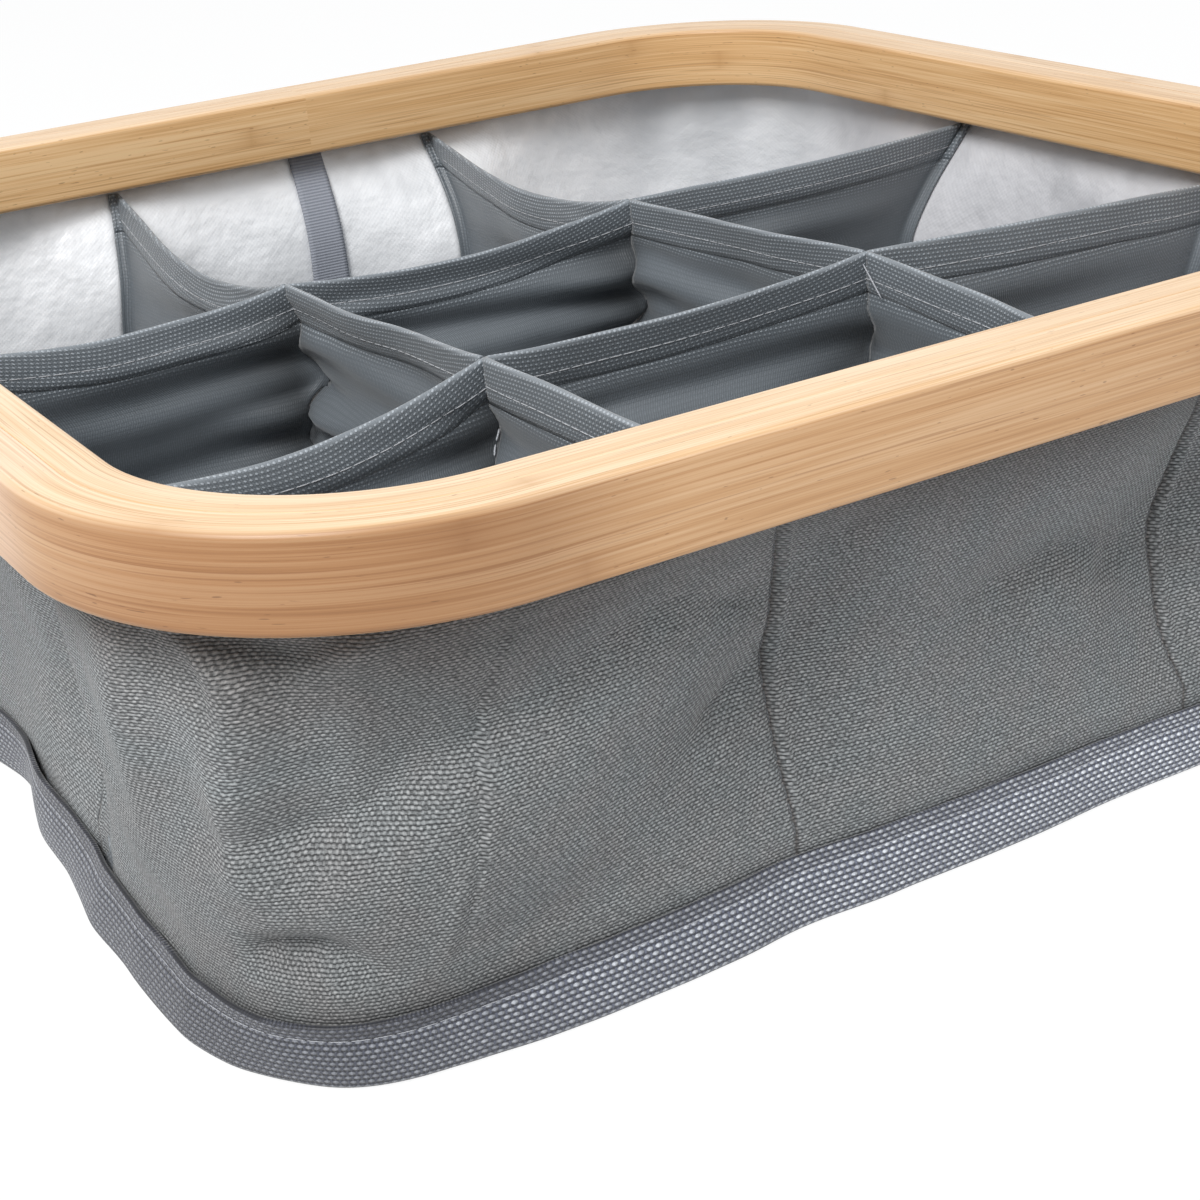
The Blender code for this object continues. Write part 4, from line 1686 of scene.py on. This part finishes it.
@dataclass
class Base:
    """The base: two cloths over a board, with their edges bound by a folded tape."""

    form: TrayForm
    straight_steps: int = 170
    corner_steps: int = 56
    floor_rings: int = 46
    cloth_step: float = 0.05
    cloth_corner_steps: int = 16
    held_reach: float = 30 * MM
    floor_lift: float = 0.9 * MM
    under_lift: float = -0.8 * MM
    edge_slack: float = 0.02
    flap_steps: int = 22
    bottom_shares: tuple[float, ...] = (0.85, 0.5, 0.0, -0.5, -0.85)
    bottom_rise: float = 0.6 * MM
    stitch_drop: float = 2.9 * MM
    stitch_edge: float = 0.3 * MM
    stitch: StitchRow = StitchRow(length=3.2 * MM, gap=0.35 * MM, radius=0.09 * MM)
    stitch_lift: float = 0.03 * MM
    sway: float = 0.7 * MM
    ripple: float = 0.3 * MM
    rise: float = 0.5 * MM
    swell: float = 0.55 * MM
    stitch_pull: float = 0.25 * MM
    stand_off: float = 1.1 * MM
    stand_off_reach: float = 45 * MM
    # Painted shade on the binding's upper fold, above its stitches.
    edge_painted_shade: float = 0.3
    # Painted shade along the binding by place round the wall, darkest by the near corner.
    soil: tuple[tuple[float, float], ...] = (
        (-192, 0.68), (-150, 0.72), (-70, 0.88), (-30, 1), (5, 0.88), (35, 0.64), (80, 0.36),
        (130, 0.2), (180, 0), (400, 0.4), (952, 0.68),
    )

    def edge(self, columns: Columns, level: float, inset: float) -> np.ndarray:
        """The base's edge at a level, so far inside the wall cloth's middle."""
        return self.form.wall_points(columns, np.array([level]), inset, still=True)[0]

    def cloth(
        self,
        name: str,
        level: float,
        inset: float,
        lift: float,
        material: bpy.types.Material,
        slot: str,
        node: str,
    ) -> None:
        """Build a flat cloth whose edge turns down into the binding.

        Args:
            name: The piece's name.
            level: Level of its middle.
            inset: How far its edge stands inside the wall cloth.
            lift: How far it swells up between its seams.
            material: Its material.
            slot: The record's material slot.
            node: The node that it stands for.
        """
        form = self.form
        columns = Columns.around(self.cloth_step, self.cloth_corner_steps)
        edge = self.edge(columns, form.base_top, inset)
        shares = np.linspace(0.0, 1, self.floor_rings) ** 0.8
        shares[0] = 0.004
        flat = edge[None] * shares[:, None, None]
        held = np.array([*form.divider_lines, -form.seam_half, form.seam_half])
        rise = np.min(np.abs(flat[..., :2, None] - held), axis=(-1, -2))
        rise = np.clip(rise / self.held_reach, 0, 1)
        flat[..., 2] = level + lift * rise**0.6 * (0.7 + 0.5 * smooth_noise(flat, 24, 2.2))
        down = [self.edge(columns, height, inset) for height in form.bound_levels]
        points = np.concatenate([flat, np.array(down)])
        places = points.copy()
        places[len(flat):, :, 0:2] *= 1.0 + self.edge_slack * np.arange(1, 4)[:, None, None]
        piece = grid_piece(name, points[::-1], places[::-1], [material], closed=True)
        thicken(piece, form.cloth)
        settle(piece, slot, node)
        flat_side = 2 * (form.seam_half + form.binding_height)

    def flaps(self) -> tuple[float, float]:
        """How far out of the seam line the middles of the binding's outer and inner flap lie."""
        reach = self.form.cloth / 2 + self.form.gap + self.form.binding_tape / 2
        return reach, -(2 * (self.form.cloth + self.form.gap) + reach)

    def binding_section(self) -> list[tuple[float, float, float]]:
        """Section of the folded tape.

        Returns:
            How far out of the seam line, level, and place across the tape, point by point.
        """
        form = self.form
        outer, inner = self.flaps()
        low = form.binding_tape / 2
        fall = low + self.bottom_rise - form.binding_height
        levels = [form.binding_height + fall * step / self.flap_steps for step in range(self.flap_steps + 1)]
        middle, reach = (outer + inner) / 2, (outer - inner) / 2
        section = [(inner, level) for level in levels]
        section += [(middle - reach * share, low) for share in self.bottom_shares]
        section += [(outer, level) for level in reversed(levels)]
        across = 0.0
        rows = []
        last = section[0]
        for point in section:
            across += math.hypot(point[0] - last[0], point[1] - last[1])
            rows.append((point[0], point[1], across))
            last = point
        return rows

    def binding_points(self, columns: Columns, section: Sequence[tuple[float, float, float]]) -> np.ndarray:
        """Points of the binding's middle.

        Args:
            columns: The columns.
            section: Its section.

        Returns:
            Rows by columns by 3.
        """
        form = self.form
        girth = form.girth(columns)
        sway = form.noise_around(girth, 0.0, 34, 7.1, 2) * self.sway
        ripple = form.noise_around(girth, 0.0, 150, 3.9) * self.ripple
        rise = form.noise_around(girth, 0.0, 26, 19.4, 2) * self.rise
        stand_off = self.stand_off * np.exp(-((girth / self.stand_off_reach) ** 2))
        rows = []
        for out, level, _ in section:
            row = self.edge(columns, level, -out)
            share = level / form.binding_height
            facing = row - self.edge(columns, level, -out + 1 * MM)
            facing /= np.linalg.norm(facing, axis=1)[:, None]
            stitched = np.exp(-(((form.binding_height - self.stitch_drop - level) / (1.1 * MM)) ** 2))
            if out > 0:
                shift = sway * (1 - share) + ripple * (0.4 + 0.6 * share)
                shift = shift + self.swell * math.sin(math.pi * min(share * 1.2, 1))
                shift = shift - self.stitch_pull * stitched + stand_off * share**3
            else:
                shift = sway * 0.2
            row = row + facing * shift[:, None]
            row[:, 2] = level + share * rise
            rows.append(row)
        return np.array(rows)

    def binding(self, finishes: Finishes) -> None:
        """Build the binding and its rows of stitches.

        Args:
            finishes: The materials.
        """
        form = self.form
        columns = Columns.around(2 / self.straight_steps, self.corner_steps)
        section = self.binding_section()
        points = self.binding_points(columns, section)
        across = np.array([row[2] for row in section])
        # Painted shade along the binding, with more on its upper fold.
        soil = through(self.soil, form.girth(columns) / MM)
        places = spread(form.unrolled(columns)[None, :], across[:, None], 0.0)
        stitch_level = form.binding_height - self.stitch_drop
        edge = np.array([row[1] > stitch_level + self.stitch_edge for row in section])
        soil = np.clip(soil[None, :] + self.edge_painted_shade * edge[:, None], 0, 1)
        piece = grid_piece(
            "binding_tape", points[::-1], places[::-1], [finishes.webbing], form.whole_girth, soil=soil[::-1]
        )
        thicken(piece, form.binding_tape)
        settle(piece, "webbing", "base_binding")
        form.whole_girth
        lines = []
        for out, sign in zip(self.flaps(), (1, -1)):
            line = self.binding_points(columns, [(out, stitch_level, 0)])[0]
            ahead = np.roll(line, -1, axis=0) - np.roll(line, 1, axis=0)
            facing = np.stack([ahead[:, 1], -ahead[:, 0], np.zeros(len(line))], axis=-1)
            facing *= sign / np.linalg.norm(facing, axis=1)[:, None]
            line = line + facing * form.binding_tape / 2
            lines.append((np.concatenate([line, line[:1]]), np.concatenate([facing, facing[:1]])))
        piece = self.stitch.piece("binding_stitches", lines, finishes.pale_thread, self.stitch_lift)
        settle(piece, "webbing")

    def build(self, finishes: Finishes) -> None:
        """Build the base.

        Args:
            finishes: The materials.
        """
        form = self.form
        inner = form.cloth + form.gap
        self.cloth("base_floor_cloth", form.base_inner_level, inner, self.floor_lift, finishes.slate,
                   "slate_cloth", "base_inner_cloth")
        outer_level = form.binding_height + form.gap + form.cloth / 2
        self.cloth("base_under_cloth", outer_level, 2 * inner, self.under_lift, finishes.linen,
                   "linen_grey", "base_outer_cloth")
        self.binding(finishes)


@dataclass(frozen=True)
class DividerPlan:
    """One divider: where it runs and how its top edge hangs.

    Its line is its place across its heading, and its marks are its crossings' places along it.
    """

    name: str
    side: Side
    line: float
    rises: tuple[float, float]
    sags: tuple[float, float, float]
    marks: tuple[float, float]
    slot_from_below: bool
    seed: float

    @property
    def heading(self) -> np.ndarray:
        """Unit direction from the side where it starts to the far side."""
        return -self.side.outward()

    @property
    def across(self) -> np.ndarray:
        """Unit direction across it, to the left of its heading."""
        return np.array([-self.heading[1], self.heading[0], 0.0])

    @property
    def far_side(self) -> Side:
        """The side where it ends."""
        return Side((self.side.value + 2) % 4)


@dataclass
class Dividers:
    """Four sewn strips that cross, with hemmed tops and tabs sewn to the walls."""

    form: TrayForm
    cloth: float = 0.62 * MM
    hem_depth: float = 8 * MM
    hem_gap: float = 0.72 * MM
    hem_edge: float = 1.6 * MM
    turn_angles: tuple[int, ...] = (30, 60, 90, 120, 150)
    hem_steps: int = 7
    stitch_step: int = 5
    end_drop: float = 1.5 * MM
    wall_gap: float = 0.7 * MM
    wave: float = 2.4 * MM
    wrinkle: float = 1.6 * MM
    fine_wrinkle: float = 0.3 * MM
    pleat_reach: float = 8 * MM
    tab_reaches: tuple[float, ...] = (0.6 * MM, 1.2 * MM, 1.9 * MM, 2.6 * MM)
    slot_half: float = 0.8 * MM
    bunching: float = 2.7 * MM
    lean: float = 4 * MM
    shadow_reach: float = 15 * MM
    short_shadow: float = 3 * MM
    shadow_depth: float = 0.75
    span_steps: int = 46
    face_rows: int = 30
    stitch: StitchRow = StitchRow(length=2.9 * MM, gap=0.3 * MM, radius=0.13 * MM)
    stitch_lift: float = 0.06 * MM
    tail: StitchRow = StitchRow(length=9.4 * MM, gap=0.1 * MM, radius=0.2 * MM)
    tail_place: tuple[float, float, float] = (-1.7 * MM, -0.6 * MM, 0.1 * MM)
    tail_length: float = 7.2 * MM
    tail_fall: tuple[float, float, float] = (0.0, 0.96, 1.0)
    tack: StitchRow = StitchRow(length=2.5 * MM, gap=0.8 * MM, radius=0.22 * MM)
    tack_levels: tuple[float, float] = (63 * MM, 56 * MM)
    tack_offset: float = 1.75 * MM
    towards: tuple[float, float, float] = (-0.5, -0.866, 0.0)

    def plans(self) -> list[DividerPlan]:
        """Where the four dividers run.

        Returns:
            Two from the right wall to the left one, then two from the front wall to the back one.
        """
        low, high = self.form.divider_lines
        leftward, backward = (-high, -low), (low, high)
        return [
            DividerPlan(
                "divider_x_front", Side.RIGHT, line=-low, rises=(2.3 * MM, 0.0),
                sags=(0.4 * MM, 2.4 * MM, 6.2 * MM), marks=leftward, slot_from_below=True, seed=1.1,
            ),
            DividerPlan(
                "divider_x_back", Side.RIGHT, line=-high, rises=(-2.5 * MM, -4.7 * MM),
                sags=(0.8 * MM, 4.2 * MM, 4.4 * MM), marks=leftward, slot_from_below=True, seed=2.3,
            ),
            DividerPlan(
                "divider_y_left", Side.FRONT, line=-low, rises=(0.0, -4.7 * MM),
                sags=(-2 * MM, 1.5 * MM, 8.6 * MM), marks=backward, slot_from_below=False, seed=3.7,
            ),
            DividerPlan(
                "divider_y_right", Side.FRONT, line=-high, rises=(2.3 * MM, -2.5 * MM),
                sags=(0.3 * MM, 0.4 * MM, 6.8 * MM), marks=backward, slot_from_below=False, seed=5.9,
            ),
        ]

    def top(self, plan: DividerPlan, span: int, share: float) -> float:
        """Level of the top edge.

        Args:
            plan: The divider.
            span: Which span between its seams and crossings.
            share: Share of the span.

        Returns:
            The level.
        """
        end = self.form.rim_bottom - self.end_drop
        supports = (end, self.form.rim_bottom + plan.rises[0], self.form.rim_bottom + plan.rises[1], end)
        chord = supports[span] + (supports[span + 1] - supports[span]) * share
        return chord - plan.sags[span] * 4 * share * (1 - share)

    def end_points(self, plan: DividerPlan, side: Side, reach: float, levels: np.ndarray) -> np.ndarray:
        """Points of a divider's end beside a wall.

        Args:
            plan: The divider.
            side: The wall's side.
            reach: How far along the wall from the divider's line.
            levels: Levels.

        Returns:
            One point a level.
        """
        sideways = float(side.along().dot(plan.across))
        place = plan.line * sideways + sideways * reach
        return self.form.wall_line(side, place, levels, self.form.cloth + self.wall_gap)

    def stray(self, crossing: Sequence[float], level: np.ndarray) -> np.ndarray:
        """How the upright line of a crossing strays in the bunched cloth.

        Args:
            crossing: Its place in plan.
            level: Levels.

        Returns:
            One row of X, Y and 0 a level.
        """
        form = self.form
        height = np.clip((level - form.base_top) / (form.rim_bottom - 8 * MM - form.base_top), 0, 1)
        window = np.sin(math.pi * height) ** 0.6
        turn = (crossing[0] * 61 + crossing[1] * 37) * 10
        zigzag = spread(
            np.sin(height * 15 + turn) + 0.6 * np.sin(height * 27 + turn * 2),
            0.8 * np.sin(height * 18 + turn * 3) + 0.5 * np.sin(height * 31 + turn),
            0.0,
        )
        zigzag[:, 0] += self.lean / self.bunching * (crossing[0] < 0 < crossing[1])
        return zigzag * (self.bunching * window)[:, None]

    def rows(self, top: float) -> tuple[np.ndarray, np.ndarray, np.ndarray]:
        """Rows of a divider's section under a top level.

        Args:
            top: Level of the top edge.

        Returns:
            Level, offset towards the hem's side, and place across the cloth.
        """
        bottom = self.form.base_top + self.form.gap
        crown = top - self.cloth / 2
        gap = self.hem_gap
        face = bottom + (crown - gap / 2 - bottom) * np.linspace(0, 1, self.face_rows) ** 0.9
        levels = list(face)
        offsets = [0.0] * len(face)
        for angle in self.turn_angles:
            turn = math.radians(angle)
            levels.append(crown - gap / 2 + gap / 2 * math.sin(turn))
            offsets.append(gap / 2 - gap / 2 * math.cos(turn))
        low = top - self.hem_depth
        for share in np.linspace(0, 1, self.hem_steps + 1):
            levels.append(crown - gap / 2 + (low - crown + gap / 2) * share)
            stitched = math.exp(-(((share - 0.72) / 0.1) ** 2))
            offsets.append(gap * (1 - 0.2 * stitched - 0.45 * share**6))
        levels.append(low - self.hem_edge)
        offsets.append(-0.1 * gap)
        level, offset = np.array(levels), np.array(offsets)
        run = np.concatenate([[0], np.cumsum(np.hypot(np.diff(level), np.diff(offset)))])
        return level, offset, run

    def span_shares(self, span: int, slot_share: float) -> list[float]:
        """Shares of a span at which its columns stand.

        Args:
            span: Which span.
            slot_share: Half of the slot's width as a share of the span.

        Returns:
            The shares, rising.
        """
        shares = set(np.linspace(0, 1, self.span_steps + 1)[1:-1])
        shares.add(slot_share if span > 0 else 0.0)
        shares.add(1 - slot_share if span < 2 else 1.0)
        return sorted(shares)

    def bulge(
        self, plan: DividerPlan, span: int, share: float, place: float, level: np.ndarray
    ) -> np.ndarray:
        """How far a column of a divider stands out of its chord.

        Args:
            plan: The divider.
            span: Which span the column is in.
            share: The column's share of the span.
            place: Its place along the divider.
            level: Levels.

        Returns:
            How far it stands out across the divider, one a level.
        """
        form = self.form
        height = (level - form.base_top) / (form.rim_bottom - form.base_top)
        bow = math.sin(math.pi * share)
        sign = 1 if span % 2 else -1
        shift = self.wave * sign * bow * np.sin(2 * math.pi * height)
        spots = spread(place, level, plan.seed)
        shift = shift + smooth_noise(spots, 24, plan.seed * 3.1, 2) * self.wrinkle * bow**0.7
        shift = shift + smooth_noise(spots, 80, plan.seed) * self.fine_wrinkle * bow**0.5
        for mark in plan.marks:
            away = abs(place - mark)
            pleat = np.sin(level * 620 + plan.seed + mark * 90)
            pleat = pleat * np.exp(-away / self.pleat_reach) * away * 0.85
            shift = shift + pleat * np.sin(math.pi * np.clip(height * 1.15, 0, 1))
        return shift

    def columns(self, plan: DividerPlan) -> tuple[np.ndarray, np.ndarray, np.ndarray]:
        """All the columns of a divider.

        Args:
            plan: The divider.

        Returns:
            Points, places, and a mark for each column that starts a slot.
        """
        form = self.form
        heading, across, far_side = plan.heading, plan.across, plan.far_side
        near_out, far_out = plan.side.outward(), far_side.outward()
        spots = [heading * mark + across * plan.line for mark in plan.marks]
        bounds = (-form.seam_half, *plan.marks, form.seam_half)
        ends = self.rows(form.rim_bottom - self.end_drop)
        columns = [
            (self.end_points(plan, plan.side, reach, ends[0]), -near_out, ends, False)
            for reach in reversed(self.tab_reaches)
        ]
        for span in range(3):
            length = bounds[span + 1] - bounds[span]
            slot_share = self.slot_half / length
            for share in self.span_shares(span, slot_share):
                rows = self.rows(self.top(plan, span, share))
                level = rows[0]
                if span > 0:
                    near = spots[span - 1] + self.stray(spots[span - 1], level)
                else:
                    near = self.end_points(plan, plan.side, 0.0, level)
                if span < 2:
                    far = spots[span] + self.stray(spots[span], level)
                else:
                    far = self.end_points(plan, far_side, 0.0, level)
                shift = self.bulge(plan, span, share, bounds[span] + length * share, level)
                points = near + (far - near) * share + across[None] * shift[:, None]
                way = across - near_out * (span == 0 and share == 0) - far_out * (span == 2 and share == 1)
                columns.append((points, way, rows, span < 2 and share == 1 - slot_share))
        columns += [
            (self.end_points(plan, far_side, reach, ends[0]), -far_out, ends, False)
            for reach in self.tab_reaches
        ]
        starts = np.array([points[0, :2] for points, *_ in columns])
        runs = np.concatenate([[0], np.cumsum(np.linalg.norm(np.diff(starts, axis=0), axis=1))])
        crown = self.face_rows + len(self.turn_angles) // 2
        placed, places = [], []
        for run, (points, way, (level, offset, down), _) in zip(runs, columns):
            column = points + way[None] * offset[:, None]
            column[:, 2] = level
            placed.append(column)
            places.append(spread(run, down, down - down[crown]))
        slots = np.array([at_slot for *_, at_slot in columns])
        return np.stack(placed, axis=1), np.stack(places, axis=1), slots

    def soil(self, plan: DividerPlan, points: np.ndarray) -> np.ndarray:
        """Painted shade on the bunched cloth beside the crossings.

        Args:
            plan: The divider.
            points: Its points.

        Returns:
            One value a point, from 0 to 1.
        """
        run = points @ plan.heading
        low, high = self.form.base_top, self.form.rim_bottom - 9 * MM
        height = (points[..., 2] - low) / (high - low)
        window = np.clip((1.05 - height) * 6, 0, 1) * np.clip(height * 4, 0, 1)
        reach = self.shadow_reach if plan.slot_from_below else self.short_shadow
        soil = np.zeros(run.shape)
        for mark in plan.marks:
            away = run - mark
            before, after = np.exp(away / self.short_shadow), np.exp(-((np.abs(away) / reach) ** 1.5))
            soil = np.maximum(soil, np.where(away > 0, after, before))
        return soil * window * self.shadow_depth

    def loose_threads(self, finishes: Finishes) -> None:
        """Lay the thread's end that hangs at one crossing, and the tacking stitches under another.

        Args:
            finishes: The materials.
        """
        low, high = self.form.divider_lines
        towards = np.array(self.towards)
        top = np.array([high, low, self.form.rim_bottom]) + self.tail_place
        tail = top - np.linspace(0, self.tail_length, 5)[:, None] * self.tail_fall
        level = np.linspace(*self.tack_levels, 6)
        tack = np.array([low, low, 0.0]) + self.stray((low, low), level) + towards * self.tack_offset
        tack[:, 2] = level
        for row, line, name in ((self.tail, tail, "hanging_thread"), (self.tack, tack, "tacking_stitches")):
            out = np.tile(towards, (len(line), 1))
            settle(row.piece(name, [(line, out)], finishes.pale_thread, 0.0), "slate_cloth")

    def strip(self, plan: DividerPlan, finishes: Finishes) -> None:
        """Build one divider and its stitches.

        Args:
            plan: The divider.
            finishes: The materials.
        """
        points, places, slots = self.columns(plan)
        form = self.form
        slot_level = (form.base_top + form.gap + form.rim_bottom) / 2
        levels = points[..., 2]
        keep = np.ones((points.shape[0] - 1, points.shape[1] - 1), bool)
        for column in np.flatnonzero(slots):
            mid = (levels[:-1, column] + levels[1:, column]) / 2
            keep[:, column] = mid > slot_level if plan.slot_from_below else mid < slot_level
        # Painted shade beside the crossings.
        soil = self.soil(plan, points)
        piece = grid_piece(f"{plan.name}_cloth", points, places, [finishes.slate], keep=keep, soil=soil)
        thicken(piece, self.cloth)
        settle(piece, "slate_cloth", plan.name)
        front = points[self.face_rows + len(self.turn_angles) + self.stitch_step]
        heading = np.gradient(front, axis=0)
        out = np.stack([-heading[:, 1], heading[:, 0], np.zeros(len(front))], axis=-1)
        out /= np.linalg.norm(out, axis=1)[:, None]
        inside = slice(len(self.tab_reaches), -len(self.tab_reaches))
        line = front[inside] + out[inside] * self.cloth / 2
        drop = front[inside][:, 2]
        back_levels = points[: self.face_rows, inside]
        back = np.array(
            [
                between_points(level, column[:, 2], column)
                for level, column in zip(drop, back_levels.transpose(1, 0, 2))
            ]
        )
        back_line = back - out[inside] * self.cloth / 2
        lines = [(line, out[inside]), (back_line, -out[inside])]
        name = f"{plan.name}_stitches"
        piece = self.stitch.piece(name, lines, finishes.divider_thread, self.stitch_lift)
        settle(piece, "slate_cloth")

    def build(self, finishes: Finishes) -> None:
        """Build all four dividers.

        Args:
            finishes: The materials.
        """
        for plan in self.plans():
            self.strip(plan, finishes)
        self.loose_threads(finishes)


@dataclass(frozen=True)
class Lamp:
    """A square soft light, its size in metres and its power in watts."""

    name: str
    place: tuple[float, float, float]
    size: float
    power: float
    aim: tuple[float, float, float] = (0.0, 0.0, 0.05)

    def hang(self) -> None:
        """Hang the light."""
        data = bpy.data.lights.new(self.name, "AREA")
        data.size = self.size
        data.energy = self.power
        lamp = linked(self.name, data)
        lamp.location = self.place
        lamp.rotation_euler = (Vector(self.aim) - Vector(self.place)).to_track_quat("-Z", "Y").to_euler()


@dataclass
class Studio:
    """Pale floor, soft lights and the camera."""

    eye: tuple[float, float, float] = (-0.2447, -0.4214, 0.2084)
    right: tuple[float, float, float] = (0.8465, -0.5281, -0.0681)
    forward: tuple[float, float, float] = (0.4608, 0.7905, -0.4034)
    focal_pixels: float = 2237.1
    frame_pixels: float = 1200.0
    sensor: float = 36.0
    nearest: float = 10 * MM
    floor_reach: float = 6.0
    floor_drop: float = 0.2 * MM
    paper: Colour = (0.84, 0.84, 0.84)
    white: Colour = (1.0, 1.0, 1.0)
    sky: Colour = (0.94, 0.97, 1.0)
    sky_strength: float = 0.5
    glow_strength: float = 1.05
    glow_share: float = 0.86
    lamps: tuple[Lamp, ...] = (
        Lamp("key", (-0.80, -0.50, 1.08), 0.6, 18.5),
        Lamp("fill", (0.8, -1.0, 0.8), 1.0, 1.5),
    )

    def camera(self) -> None:
        """Place the camera where the photograph was taken from."""
        forward = Vector(self.forward).normalized()
        right = Vector(self.right)
        right = (right - forward * right.dot(forward)).normalized()
        up = right.cross(forward)
        data = bpy.data.cameras.new("camera")
        data.sensor_width = self.sensor
        data.lens = self.sensor * self.focal_pixels / self.frame_pixels
        data.clip_start = self.nearest
        camera = linked("camera", data)
        turn = Matrix((right, up, -forward)).transposed().to_4x4()
        camera.matrix_world = Matrix.Translation(self.eye) @ turn
        bpy.context.scene.camera = camera

    def floor(self) -> None:
        """Lay a pale floor that shows white and keeps the tray's shadow."""
        mesh = bpy.data.meshes.new("floor")
        reach = self.floor_reach
        corners = [(-reach, -reach, 0), (reach, -reach, 0), (reach, reach, 0), (-reach, reach, 0)]
        mesh.from_pydata(corners, [], [(0, 1, 2, 3)])
        floor = linked("floor", mesh)
        floor.location.z = -self.floor_drop
        material, graph = new_material("pale_floor")
        paper = graph.add("ShaderNodeBsdfDiffuse", {}, {"Color": self.paper})
        glow = graph.add("ShaderNodeEmission", {}, {"Color": self.white, "Strength": self.glow_strength})
        share = graph.seen() * self.glow_share
        shown = graph.add("ShaderNodeMixShader", {}, {0: share, 1: paper, 2: glow})
        graph.add("ShaderNodeOutputMaterial", {}, {0: shown})
        mesh.materials.append(material)

    def world(self) -> None:
        """A white surround that lights softly."""
        world = bpy.data.worlds.new("surround")
        world.use_nodes = True
        bpy.context.scene.world = world
        graph = Graph(world.node_tree)
        soft = graph.add("ShaderNodeBackground", {}, {"Color": self.sky, "Strength": self.sky_strength})
        white = graph.add("ShaderNodeBackground", {}, {"Color": self.white, "Strength": 1.0})
        shown = graph.add("ShaderNodeMixShader", {}, {0: graph.seen(), 1: soft, 2: white})
        graph.add("ShaderNodeOutputWorld", {}, {0: shown})

    def build(self) -> None:
        """Build the studio."""
        bpy.context.scene.view_settings.view_transform = "Standard"
        self.camera()
        self.floor()
        self.world()
        for lamp in self.lamps:
            lamp.hang()


def main() -> None:
    """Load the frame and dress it."""
    logging.basicConfig(level=logging.INFO, format="%(name)s: %(message)s")
    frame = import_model()
    Studio().build()
    finishes = Finishes()
    form = TrayForm()
    Rim(form).build(finishes)
    Wall(form).build(finishes)
    Base(form).build(finishes)
    Dividers(form).build(finishes)
    for node, material, slot in (("hem_strip", finishes.plastic, "white_plastic"),
                                 ("base_board", finishes.board, "hardboard")):
        piece = frame["nodes"][node]
        piece.data.materials.clear()
        piece.data.materials.append(material)


if __name__ == "__main__":
    main()
